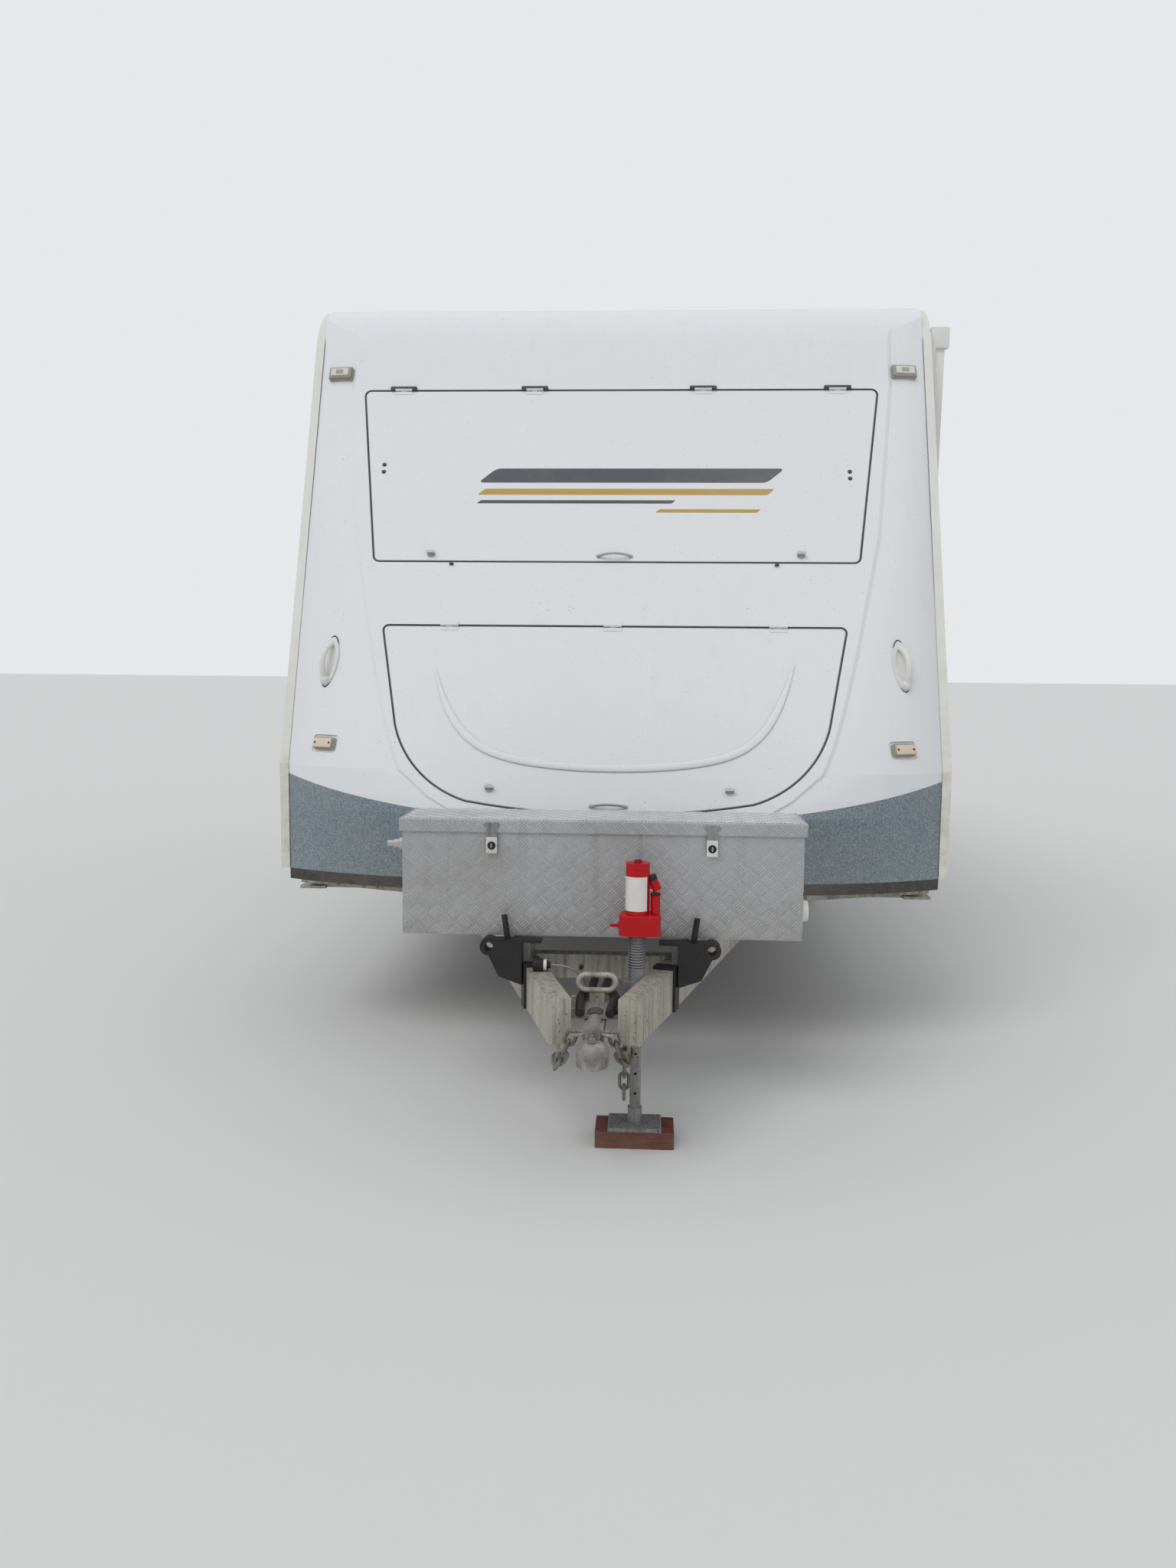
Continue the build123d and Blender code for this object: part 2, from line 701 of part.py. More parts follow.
with BuildPart() as chassis_frame:
    for side in (-1, 1):
        with Locations((side * rail_x, (rail_front + rail_rear) / 2, rail_z)):
            add(rail_tube)
    for y in cross_ys:
        with Locations((0, y, rail_z)):
            Box(2 * rail_x - rail_width, cross_size, cross_size)
        for side in (-1, 1):
            with BuildSketch(Plane.XZ.offset(-y - cross_size / 2)):
                Polygon(
                    (side * rail_side, floor_bottom),
                    (side * inner_half, floor_bottom),
                    (side * inner_half, floor_bottom - outrigger_tip),
                    (side * rail_side, floor_bottom - outrigger_root),
                    align=None,
                )
            extrude(amount=cross_size)
    # Ears and pins that carry the corner steadies, on a plate under the floor
    for name, side, y in steadies:
        with Locations((side * (rail_x + steady_pivot_x) / 2, y, floor_bottom - ear / 2)):
            Box(steady_pivot_x - rail_x + ear_width, steady_size + 2 * (steady_gap + ear), ear)
        ear_y = steady_size / 2 + steady_gap + ear / 2
        with Locations(*[(side * steady_pivot_x, y + end * ear_y, (ear_low + floor_bottom) / 2) for end in (-1, 1)]):
            Box(ear_width, ear, floor_bottom - ear_low)
        with Locations(Location((side * steady_pivot_x, y, steady_z), (90, 0, 0))):
            Cylinder(steady_pin_r, steady_size + 2 * (steady_gap + ear))
    # Guides of the pull-out step, with cross bars back to the rail
    guide_low = step_z - guide_gap
    bar_size = 30.0
    for end in (-1, 1):
        with Locations((guide_x, door_y + end * (step_half + guide_gap), (guide_low + floor_bottom) / 2)):
            Box(guide_width, guide_gauge, floor_bottom - guide_low)
        with Locations((guide_x, door_y + end * (step_half + guide_gap / 2), guide_low + guide_gauge / 2)):
            Box(guide_width, guide_gap, guide_gauge)
        with Locations(((rail_x + guide_x) / 2, door_y + end * (step_half + guide_gap), floor_bottom - bar_size / 2)):
            Box(guide_x - rail_x, bar_size, bar_size)
    # Rear bumper with the post of the spare wheel
    bumper_y = rail_rear + bumper_size / 2
    with Locations((0, bumper_y, rail_z)):
        Box(bumper_width, bumper_size, rail_height)
    with Locations((0, bumper_y, (rail_bottom + post_top) / 2)):
        Box(post_width, bumper_size, post_top - rail_bottom)
save(chassis_frame.part, "chassis_frame")

# Values of the drawbar
drawbar_run = (rail_x - drawbar_tip_x) / sin(radians(drawbar_angle))
drawbar_length = drawbar_run + 160
drawbar_z = rail_bottom - drawbar_height / 2
drawbar_skew = drawbar_width / 2 / cos(radians(drawbar_angle))
drawbar_cross_y = ball_y + 625.0
drawbar_cross_depth = 50.0
drawbar_cross_height = 75.0
tip_plate = 4.0
gland_x = -64.0
gland_z = rail_bottom - 38.0
gland_r = 8.0
gland_length = 12.0
gland_y = drawbar_cross_y - drawbar_cross_depth / 2


def drawbar_x(y):
    """Centre line of the +X drawbar rail at y."""
    return drawbar_tip_x + (y - drawbar_tip_y) * tan(radians(drawbar_angle))


def between_rails(low_y, high_y):
    """Outline that fills the gap between the drawbar rails from low_y to high_y."""
    near = drawbar_x(low_y) - drawbar_skew
    far = drawbar_x(high_y) - drawbar_skew
    Polygon((-near, low_y), (near, low_y), (far, high_y), (-far, high_y), align=None)


# Values of the coupling
plate_low_y = ball_y + 130.0
plate_high_y = ball_y + 325.0
plate_z = rail_bottom - 62.0
plate_thick = 10.0
head_r = 43.0
head_low = plate_z - 90.0
head_high = plate_z - 18.0
socket_r = 25.4
socket_length = 34.0
drawtube_r = 21.0
drawtube_z = plate_z - 8.0
drawtube_end = ball_y + 250.0

# Safety chains. A chain is a row of points where links meet, one pitch apart. The end bars of two
# links that meet lie side by side there, and each link's plane stands square to its neighbours'.
chain_wire = 10.0
chain_pitch = 36.0
chain_inner = 16.0
link_r = (chain_inner + chain_wire) / 2
chain_reach = chain_wire + 0.9
chain_eye = Vector(54, ball_y + 30, plate_z - 8)
chain_under = Vector(drawbar_tip_x, drawbar_tip_y + 40, drawbar_low - 26)
tail_top = Vector(80, ball_y + 272, plate_z - 26)
tail_links = 7


def round_link(length, radius, bar_r):
    """Closed link on the XY plane: two straight runs along X, two half rings, round bar."""
    half = length / 2
    with BuildPart() as link:
        with BuildLine() as path:
            Line((-half, radius), (half, radius))
            TangentArc((half, radius), (half, -radius), tangent=(1, 0))
            Line((half, -radius), (-half, -radius))
            TangentArc((-half, -radius), (-half, radius), tangent=(-1, 0))
        with BuildSketch(Plane(origin=path.wire() @ 0, z_dir=path.wire() % 0)):
            Circle(bar_r)
        sweep(path=path.wire())
    return link.part


def chain_link(first, last, normal):
    """One link between the middles of its two end bars, square to a normal."""
    along = (last - first).normalized()
    flat = along.cross(normal).cross(along)
    plane = Plane(origin=(first + last) * 0.5, x_dir=along, z_dir=flat)
    return place(round_link((last - first).length - 2 * link_r, link_r, chain_wire / 2), plane)


def chain_links(points, across):
    """All links between neighbouring points. The first and last are the eyes that carry the chain."""
    steps = [(end - start).normalized() for start, end in zip(points, points[1:])]
    normals = [step.cross(across) if i % 2 == 0 else step.cross(step.cross(across)) for i, step in enumerate(steps)]
    firsts = [points[0]]
    lasts = []
    for i, point in enumerate(points[1:-1]):
        before, after = steps[i], steps[i + 1]
        turn = before.cross(after)
        turns_in_next = abs(turn.dot(normals[i + 1])) >= abs(turn.dot(normals[i]))
        pull = (after if turns_in_next else before) * (chain_reach / 2)
        lasts.append(point + pull)
        firsts.append(point - pull)
    lasts.append(points[-1])
    return [chain_link(*ends) for ends in zip(firsts, lasts, normals)]


def hanging_points(start, end, sag, bow):
    """Points one pitch apart on a curve that hangs from start to end and bows out sideways."""
    points = [start]
    samples = 400
    for i in range(1, samples + 1):
        share = i / samples
        bulge = 4 * share * (1 - share)
        here = start + (end - start) * share + Vector(bow * bulge, 0, -sag * bulge)
        if (here - points[-1]).length >= chain_pitch:
            points.append(here)
    return points


coupling_eyes = []
drawbar_eyes = []
loose_links = []
# Columns: side, sag, bow
for side, sag, bow in [(-1, 70.0, -26.0), (1, 58.0, 8.0)]:
    start = Vector(side * chain_eye.X, chain_eye.Y, chain_eye.Z)
    end = Vector(side * chain_under.X, chain_under.Y, chain_under.Z)
    points = hanging_points(start, end, sag, bow)
    inside_head = start + Vector(-side * chain_pitch, 0, 0)
    inside_rail = Vector(points[-1].X, points[-1].Y, drawbar_low + chain_wire)
    row = chain_links([inside_head] + points + [inside_rail], Vector(0, 1, 0))
    coupling_eyes.append(row[0])
    drawbar_eyes.append(row[-1])
    loose_links += row[1:-1]
tail_points = [tail_top - Vector(0, 0, chain_pitch * i) for i in range(-1, tail_links + 1)]
tail_row = chain_links(tail_points, Vector(1, 0, 0))
coupling_eyes.append(tail_row[0])
loose_links += tail_row[1:]
with BuildPart() as safety_chains:
    for link in loose_links:
        add(link)
save(safety_chains.part, "safety_chains")

# Drawbar: two rails that run from the coupling back under the chassis rails, with a cross member
drawbar_rail = tube(drawbar_width, drawbar_height, rail_gauge, drawbar_length)
with BuildPart() as rail_tip:
    Box(drawbar_width, tip_plate, drawbar_height)
with BuildPart() as drawbar:
    for side in (-1, 1):
        turn = Location((side * drawbar_tip_x, drawbar_tip_y, drawbar_z), (0, 0, -side * drawbar_angle))
        add(drawbar_rail.moved(turn * Location((0, drawbar_length / 2, 0))))
        add(rail_tip.part.moved(turn * Location((0, tip_plate / 2, 0))))
    with BuildSketch(Plane.XY.offset(rail_bottom - drawbar_cross_height)):
        between_rails(drawbar_cross_y - drawbar_cross_depth / 2, drawbar_cross_y + drawbar_cross_depth / 2)
    extrude(amount=drawbar_cross_height)
    with BuildSketch(Plane.XZ.offset(-gland_y)):
        with Locations((gland_x, gland_z)):
            Circle(gland_r)
    extrude(amount=gland_length)
    for eye in drawbar_eyes:
        add(eye)
save(drawbar.part, "drawbar")

# Coupling: mounting plate between the rails, drawtube, and the cast head with its ball socket
sleeve_r = 25.0
neck_width = 54.0
with BuildPart() as coupling:
    with BuildSketch(Plane.XY.offset(plate_z)):
        between_rails(plate_low_y, plate_high_y)
    extrude(amount=plate_thick)
    # Drawtube with its gaiter sleeve, lying on the cast bed
    with BuildSketch(Plane.XZ.offset(-ball_y)):
        with Locations((0, drawtube_z)):
            Circle(drawtube_r)
    extrude(amount=-(drawtube_end - ball_y))
    with BuildSketch(Plane.XZ.offset(-ball_y - 140)):
        with Locations((0, drawtube_z)):
            Circle(sleeve_r)
    extrude(amount=-36)
    with Locations((0, ball_y + 190, plate_z - 24)):
        Box(neck_width, 240, 40)
    # Cast head: a dome with a rolled lower rim, turned about the ball
    with BuildSketch(Plane.XZ.offset(-ball_y)) as head_profile:
        with BuildLine():
            Line((0, head_low), (head_r - 8, head_low))
            ThreePointArc((head_r - 8, head_low), (head_r - 2, head_low + 3), (head_r, head_low + 10))
            Line((head_r, head_low + 10), (head_r, head_high - 30))
            ThreePointArc((head_r, head_high - 30), (head_r - 12, head_high - 8), (12, head_high))
            Line((12, head_high), (0, head_high))
            Line((0, head_high), (0, head_low))
        make_face()
    revolve(axis=Axis((0, ball_y, 0), (0, 0, 1)))
    with Locations((0, ball_y - 26, head_low + 30)):
        Box(52, 68, 48)
    fillet(coupling.edges().filter_by(Axis.Z).sort_by(Axis.Y)[:2], 20)
    with Locations((0, ball_y + 50, plate_z - 24)):
        Box(neck_width, 60, 56)
    for eye in coupling_eyes:
        add(eye)
    with Locations((0, ball_y, head_low + socket_length / 2)):
        Cylinder(socket_r, socket_length, mode=Mode.SUBTRACT)
    with Locations((0, ball_y, head_low + socket_length)):
        Sphere(socket_r, mode=Mode.SUBTRACT)
save(coupling.part, "coupling")

# Lever of the coupling: strap with a hole, and the oval grab loop on it
loop_y = ball_y + 262.0
loop_r = 8.0
loop_width = 122.0
loop_height = 60.0
loop_z = plate_z + plate_thick + 56.0
strap_width = 42.0
strap_top = loop_z - loop_height / 2 + loop_r
loop = round_link(loop_width - loop_height, loop_height / 2 - loop_r, loop_r)
with BuildPart() as coupling_lever:
    add(place(loop, Plane(origin=(0, loop_y, loop_z), x_dir=(1, 0, 0), z_dir=(0, -1, 0))))
    with Locations((0, loop_y, (plate_z + plate_thick + strap_top) / 2)):
        Box(strap_width, 8, strap_top - plate_z - plate_thick)
    with Locations(Location((0, loop_y, plate_z + plate_thick + 16), (90, 0, 0))):
        Cylinder(5, 40, mode=Mode.SUBTRACT)
save(coupling_lever.part, "coupling_lever")

# Drawbar jack: ribbed outer tube with its clamp on the rail, bottle jack, sliding leg and foot
jack_x = 111.0
jack_y = ball_y + 360.0
block_thick = 50.0
block_width = 231.0
block_depth = 125.0
foot_thick = 10.0
foot_width = 157.0
foot_depth = 124.0
jack_tube_r = 24.0
jack_bore_r = 17.0
jack_leg_r = 16.5
jack_tube_low = rail_bottom - 100.0
jack_tube_high = rail_bottom + 125.0
rib_rise = 2.0
rib_pitch = 8.0
rib_count = 13
clamp_z = rail_bottom - 48.0
clamp_height = 70.0
jack_travel = 195.0
right_rail = Location((drawbar_tip_x, drawbar_tip_y, drawbar_z), (0, 0, -drawbar_angle))
with BuildPart() as jack_clamp:
    clamp_left = jack_x - 40
    clamp_right = drawbar_x(jack_y)
    with Locations(((clamp_left + clamp_right) / 2, jack_y, clamp_z)):
        Box(clamp_right - clamp_left, 60, clamp_height)
    fillet(jack_clamp.edges().filter_by(Axis.Z).group_by(Axis.X)[0], 18)
    with Locations(right_rail * Location((0, drawbar_length / 2, 0))):
        Box(drawbar_width, drawbar_length, drawbar_height, mode=Mode.SUBTRACT)
    with BuildSketch(Plane.XZ.offset(-jack_y)) as jack_tube_profile:
        with Locations(((jack_bore_r + jack_tube_r) / 2, (jack_tube_low + jack_tube_high) / 2)):
            Rectangle(jack_tube_r - jack_bore_r, jack_tube_high - jack_tube_low)
        for i in range(rib_count):
            rib_top = jack_tube_high - 4 - i * rib_pitch
            Polygon(
                (jack_tube_r - 1, rib_top),
                (jack_tube_r + rib_rise, rib_top - rib_pitch / 3),
                (jack_tube_r - 1, rib_top - rib_pitch * 2 / 3),
                align=None,
            )
    revolve(jack_tube_profile.sketch.moved(at_x(jack_x)), axis=Axis((jack_x, jack_y, 0), (0, 0, 1)))
    with Locations((jack_x, jack_y, clamp_z)):
        Cylinder(jack_bore_r, 2 * drawbar_height, mode=Mode.SUBTRACT)
save(jack_clamp.part, "jack_clamp")

jack_base_high = 60.0
jack_base_top = jack_tube_high + jack_base_high
jack_cylinder_r = 35.0
jack_top = jack_base_top + 150.0
pump_x = 52.0
pump_r = 14.0
with BuildPart() as jack_head:
    with BuildSketch(Plane.XY.offset(jack_tube_high)):
        with Locations((jack_x + 8, jack_y)):
            RectangleRounded(122, 84, 24)
    extrude(amount=jack_base_high)
    chamfer(jack_head.faces().sort_by(Axis.Z)[-1].edges(), 5)
    with Locations((jack_x, jack_y, (jack_base_top + jack_top) / 2)):
        Cylinder(jack_cylinder_r, jack_top - jack_base_top)
    with Locations((jack_x, jack_y, jack_top + 3)):
        Cylinder(12, 6)
    # Pump cylinder with its tilted handle socket, and the release valve
    with Locations((jack_x + pump_x, jack_y, jack_base_top + 30)):
        Cylinder(pump_r, 60)
    with Locations((jack_x + pump_x, jack_y, jack_base_top + 62)):
        Cylinder(8, 24)
    with Locations(Location((jack_x + pump_x - 4, jack_y, jack_base_top + 92), (0, -24, 0))):
        Cylinder(13, 48)
        Cylinder(9, 60, mode=Mode.SUBTRACT)
    with Locations((jack_x + 40, jack_y, jack_base_top + 80)):
        Box(26, 12, 12)
    with Locations(Location((jack_x - 62, jack_y, jack_tube_high + 24), (0, 90, 0))):
        Cylinder(5, 34)
    with Locations(Location((jack_x - 50, jack_y, jack_tube_high + 24), (0, 90, 0))):
        Cylinder(9, 14)
save(jack_head.part, "jack_head")

leg_low = block_thick + foot_thick
leg_high = jack_tube_low + 20
collar_r = 21.0
collar_high = 46.0
leg_hole_r = 4.0
leg_hole_zs = [leg_low + 90 + i * 60 for i in range(4)]
with BuildPart() as jack_leg:
    with Locations((jack_x, jack_y, (leg_low + leg_high) / 2)):
        Cylinder(jack_leg_r, leg_high - leg_low)
    with Locations((jack_x, jack_y, leg_low + collar_high / 2)):
        Cylinder(collar_r, collar_high)
    with Locations((jack_x, jack_y, leg_low - foot_thick / 2)):
        Box(foot_width, foot_depth, foot_thick)
    chamfer(jack_leg.faces().filter_by(Axis.Z).sort_by(Axis.Z)[1].outer_wire().edges(), 4)
    for z in leg_hole_zs:
        with Locations(Location((jack_x, jack_y, z), (90, 0, 0))):
            Cylinder(leg_hole_r, 4 * jack_leg_r, mode=Mode.SUBTRACT)
save(jack_leg.part, "jack_leg")

with BuildPart() as jack_block:
    with Locations((jack_x, jack_y, block_thick / 2)):
        Box(block_width, block_depth, block_thick)
    chamfer(jack_block.edges().filter_by(Axis.Z), 3)
save(jack_block.part, "jack_block")

# Toolbox of tread plate on the drawbar, and its lid
box_half = 605.0
box_front = ball_y + 485.0
box_rear = ball_y + 750.0
box_middle_y = (box_front + box_rear) / 2
box_low = rail_bottom + 84.0
box_high = rail_bottom + 425.0
box_gauge = 3.0
lid_skirt = 38.0
lid_top = box_high + 13.0
lid_clear = 5.0
lid_low = lid_top - lid_skirt
stand_width = 50.0
stand_depth = 200.0
with BuildPart() as toolbox:
    with Locations((0, box_middle_y, (box_low + box_high) / 2)):
        Box(2 * box_half, box_rear - box_front, box_high - box_low)
    with Locations((0, box_middle_y, (box_low + box_high) / 2 + box_gauge)):
        Box(
            2 * (box_half - box_gauge),
            box_rear - box_front - 2 * box_gauge,
            box_high - box_low,
            mode=Mode.SUBTRACT,
        )
    with Locations((0, box_rear, box_high)):
        Box(2 * box_half, 2 * (box_gauge + lid_clear), 2 * (box_high - lid_low + lid_clear), mode=Mode.SUBTRACT)
    for side in (-1, 1):
        with Locations((side * drawbar_x(box_middle_y), box_middle_y, (rail_bottom + box_low) / 2)):
            Box(stand_width, stand_depth, box_low - rail_bottom)
save(toolbox.part, "toolbox")

# Toolbox hinge: local y points down the rear wall of the box, local z points backwards
box_hinge = (90.0, 6.0, 3.0, 20.0, 2.5)
box_hinge_x = [-420.0, 420.0]
box_leaf = hinge_half(True, *box_hinge)
box_hinge_plane = Plane(
    origin=(0, box_rear + box_hinge[1], lid_low - lid_clear / 2), x_dir=(1, 0, 0), z_dir=(0, 1, 0)
)
lid_front = box_front - lid_clear - box_gauge
lid_half = box_half + lid_clear + box_gauge
lid_middle_y = (lid_front + box_rear) / 2
with BuildPart() as toolbox_lid:
    with Locations((0, lid_middle_y, lid_top - lid_skirt / 2)):
        Box(2 * lid_half, box_rear - lid_front, lid_skirt)
    fillet(toolbox_lid.edges().filter_by(Axis.X).sort_by(Axis.Z)[-2:], 5)
    with Locations((0, lid_middle_y, lid_top - lid_skirt / 2 - box_gauge)):
        Box(
            2 * (lid_half - box_gauge),
            box_rear - lid_front - 2 * box_gauge,
            lid_skirt,
            mode=Mode.SUBTRACT,
        )
    for x in box_hinge_x:
        add(place(box_leaf, box_hinge_plane, x))
save(toolbox_lid.part, "toolbox_lid")

# Latches on the lid: a strap with a crossbar that hangs over the front of the box, with a lock eye
latch_x = [-331.0, 331.0]
latch_width = 32.0
latch_thick = 4.0
latch_reach = 72.0
latch_eye_r = 9.0
latch_plane = Plane(origin=(0, lid_front, lid_low), x_dir=(1, 0, 0), z_dir=(0, -1, 0))
with BuildPart() as latch:
    with BuildSketch() as latch_outline:
        with Locations((0, -latch_reach / 2 + lid_skirt / 2)):
            Rectangle(latch_width, latch_reach + lid_skirt / 2)
        with Locations((0, lid_skirt * 0.6)):
            Rectangle(latch_width + 14, 10)
        fillet(latch_outline.vertices().group_by(Axis.Y)[0], 5)
        with Locations((0, -latch_reach * 0.55)):
            Circle(latch_eye_r, mode=Mode.SUBTRACT)
    extrude(amount=latch_thick)
    with Locations((0, -latch_reach * 0.55, latch_thick / 2)):
        Cylinder(latch_eye_r + 4, latch_thick + 3)
        Cylinder(latch_eye_r, 3 * latch_thick, mode=Mode.SUBTRACT)
with BuildPart() as toolbox_latches:
    for x in latch_x:
        add(place(latch.part, latch_plane, x, 0, seat_gap))
save(toolbox_latches.part, "toolbox_latches")

# Axles with their spindles and backing plates
axle_half = tyre_x - 175.0
axle_size = 50.0
spindle_r = 20.0
spindle_length = 165.0
backing_r = 120.0
backing_thick = 12.0
with BuildPart() as axles:
    for y in axle_ys:
        with Locations((0, y, wheel_r)):
            Box(2 * axle_half, axle_size, axle_size)
        for side in (-1, 1):
            with Locations(Location((side * (axle_half + spindle_length / 2), y, wheel_r), (0, 90, 0))):
                Cylinder(spindle_r, spindle_length)
            with Locations(Location((side * (axle_half + backing_thick / 2), y, wheel_r), (0, 90, 0))):
                Cylinder(backing_r, backing_thick)
save(axles.part, "axles")

# Leaf springs: a main leaf with an eye at each end, a shorter leaf under it, and their hangers
spring_half = 330.0
spring_rise = 60.0
leaf_thick = 12.0
short_share = 0.6
spring_width = 45.0
hanger_length = 50.0
spring_low = wheel_r + axle_size / 2


def leaf(middle_y, half, low, rise):
    """Outline of one leaf in the YZ plane."""
    high = low + leaf_thick
    ThreePointArc((middle_y - half, low + rise), (middle_y, low), (middle_y + half, low + rise))
    Line((middle_y + half, low + rise), (middle_y + half, high + rise))
    ThreePointArc((middle_y + half, high + rise), (middle_y, high), (middle_y - half, high + rise))
    Line((middle_y - half, high + rise), (middle_y - half, low + rise))


with BuildPart() as leaf_springs:
    for side in (-1, 1):
        for y in axle_ys:
            with BuildSketch(Plane.YZ.offset(side * rail_x - spring_width / 2)):
                with BuildLine():
                    leaf(y, spring_half, spring_low + leaf_thick, spring_rise)
                make_face()
                with BuildLine():
                    leaf(y, spring_half * short_share, spring_low, spring_rise * short_share**2)
                make_face()
            extrude(amount=spring_width)
            leaf_top = spring_low + spring_rise + 2 * leaf_thick
            for end in (-1, 1):
                hanger_y = y + end * (spring_half - hanger_length / 2)
                with Locations((side * rail_x, hanger_y, (leaf_top - 2 * leaf_thick + rail_bottom) / 2)):
                    Box(spring_width, hanger_length, rail_bottom - leaf_top + 2 * leaf_thick)
save(leaf_springs.part, "leaf_springs")

# Wheels: tyre and rim are turned about Z at the origin, with +Z as the outer side
rim_r = 190.0
rim_gauge = 12.0
rim_half = 82.5
hub_r = 60.0
drum_r = 128.0
groove = 8.0
sidewall_share = 0.45


def make_tyre():
    half = tyre_width / 2 - seat_gap
    middle_r = rim_r + (wheel_r - rim_r) * sidewall_share
    shoulder_r = wheel_r - 20.0
    tread_half = half * 0.62
    with BuildPart() as tyre:
        with BuildSketch(Plane.XZ):
            with BuildLine():
                Line((rim_r, -rim_half), (rim_r, rim_half))
                ThreePointArc((rim_r, rim_half), (middle_r, half), (shoulder_r, half * 0.86))
                Line((shoulder_r, half * 0.86), (wheel_r, tread_half))
                Line((wheel_r, tread_half), (wheel_r, -tread_half))
                Line((wheel_r, -tread_half), (shoulder_r, -half * 0.86))
                ThreePointArc((shoulder_r, -half * 0.86), (middle_r, -half), (rim_r, -rim_half))
            make_face()
            with Locations(*[(wheel_r, z) for z in (-tread_half / 2, 0, tread_half / 2)]):
                Rectangle(2 * groove, groove, mode=Mode.SUBTRACT)
        revolve(axis=Axis.Z)
    return tyre.part


def make_rim(driven_by_axle):
    """Alloy rim. On an axle it has the brake drum and the bore for the spindle."""
    window_r = 19.0
    window_ring = 124.0
    window_count = 9
    stud_ring = 47.0
    stud_count = 5
    with BuildPart() as rim:
        with BuildSketch(Plane.XZ):
            with Locations((rim_r - rim_gauge / 2, 0)):
                Rectangle(rim_gauge, 2 * rim_half)
            Polygon((hub_r - 4, 16), (rim_r - 8, 6), (rim_r - 8, 24), (112, 44), (hub_r - 4, 40), align=None)
            with Locations((hub_r / 2, -20)):
                Rectangle(hub_r, 130)
            if driven_by_axle:
                Polygon((0, -130), (drum_r, -130), (drum_r, -66), (hub_r, -58), (0, -58), align=None)
                with Locations(((spindle_r + seat_gap) / 2, -75)):
                    Rectangle(spindle_r + seat_gap, 150, mode=Mode.SUBTRACT)
        revolve(axis=Axis.Z)
        with Locations((0, 0, 25)):
            with PolarLocations(window_ring, window_count):
                Cylinder(window_r, 60, mode=Mode.SUBTRACT)
        with Locations((0, 0, 50)):
            with PolarLocations(stud_ring, stud_count):
                Cylinder(7, 16)
            Cylinder(26, 14)
    return rim.part


wheels = [
    (f"{end}_{name}", side, y)
    for y, end in zip(axle_ys, ["front", "rear"])
    for side, name in [(1, "left"), (-1, "right")]
]
tyre_shape = make_tyre()
rim_shape = make_rim(True)
for name, side, y in wheels:
    centre = Plane(origin=(side * tyre_x, y, wheel_r), x_dir=(0, 1, 0), z_dir=(side, 0, 0))
    save(place(tyre_shape, centre), f"tyre_{name}")
    save(place(rim_shape, centre), f"rim_{name}")

# Spare wheel on its post
spare_z = wall_bottom + 240.0
spare_centre = Plane(
    origin=(0, rail_rear + bumper_size + tyre_width / 2, spare_z), x_dir=(1, 0, 0), z_dir=(0, 1, 0)
)
with BuildPart() as spare_rim:
    add(make_rim(False))
    boss_depth = tyre_width / 2
    with Locations((0, 0, -boss_depth / 2)):
        Cylinder(hub_r, boss_depth)
save(place(tyre_shape, spare_centre), "spare_tyre")
save(place(spare_rim.part, spare_centre), "spare_rim")

# Grab handles on the pillars: an oval dish with a bar that bows over it to a thick lower end
handle_x = 1043.0
handle_z = wall_bottom + 768.0
handle_length = 184.0
handle_width = 76.0
handle_bar_r = 11.0
handle_rise = 44.0
dish_thick = 7.0
handle_sink = 12.0
grip_half = handle_length / 2 - 22.0
with BuildPart() as handle:
    with BuildSketch(Plane.XY.offset(-handle_sink)):
        Ellipse(handle_width / 2, handle_length / 2)
    extrude(amount=handle_sink + dish_thick)
    with BuildSketch(Plane.XY.offset(2)):
        Ellipse(handle_width / 2 - 11, handle_length / 2 - 26)
    extrude(amount=dish_thick, mode=Mode.SUBTRACT)
    with BuildLine(Plane.YZ) as grip_path:
        ThreePointArc((-grip_half, 4), (0, handle_rise), (grip_half, 4))
    with BuildSketch(Plane(origin=grip_path.wire() @ 0, z_dir=grip_path.wire() % 0)):
        Circle(handle_bar_r)
    sweep(path=grip_path.wire())
    with Locations((0, -grip_half - 2, dish_thick)):
        Sphere(handle_bar_r + 7)
    with Locations((0, 0, -handle_sink - hole_reach / 2)):
        Box(2 * handle_width, 2 * handle_length, hole_reach, mode=Mode.SUBTRACT)
handle_planes = [front_plane(side * handle_x, handle_z) for side in (-1, 1)]
with BuildPart() as grab_handles:
    for plane in handle_planes:
        add(place(handle.part, plane))
    add(front_whole.part, mode=Mode.SUBTRACT)
save(grab_handles.part, "grab_handles")


# Marker lamps on the pillars: a base with a rounded lens on it
def lamp_shape(width, height, base_rise):
    rim = 4.0
    lens_rise = 12.0
    sink = 6.0
    with BuildPart() as lamp:
        with BuildSketch(Plane.XY.offset(-sink)):
            RectangleRounded(width + 2 * rim, height + 2 * rim, 2 * rim)
        extrude(amount=sink + base_rise)
        with BuildSketch(Plane.XY.offset(base_rise)):
            RectangleRounded(width, height, 2 * rim)
        extrude(amount=lens_rise)
        chamfer(lamp.faces().sort_by(Axis.Z)[-1].edges(), rim)
    return lamp.part


upper_lamp_shape = lamp_shape(upper_lamp[2], upper_lamp[3], 10.0)
lower_lamp_shape = lamp_shape(lower_lamp[2], lower_lamp[3], 4.0)
with BuildPart() as marker_lamps:
    for side in (-1, 1):
        add(place(upper_lamp_shape, front_plane(side * upper_lamp[0], upper_lamp[1])))
        add(place(lower_lamp_shape, front_plane(side * lower_lamp[0], lower_lamp[1]), 0, 0, 6 - pocket_depth))
    add(front_moulding.part, mode=Mode.SUBTRACT)
save(marker_lamps.part, "marker_lamps")

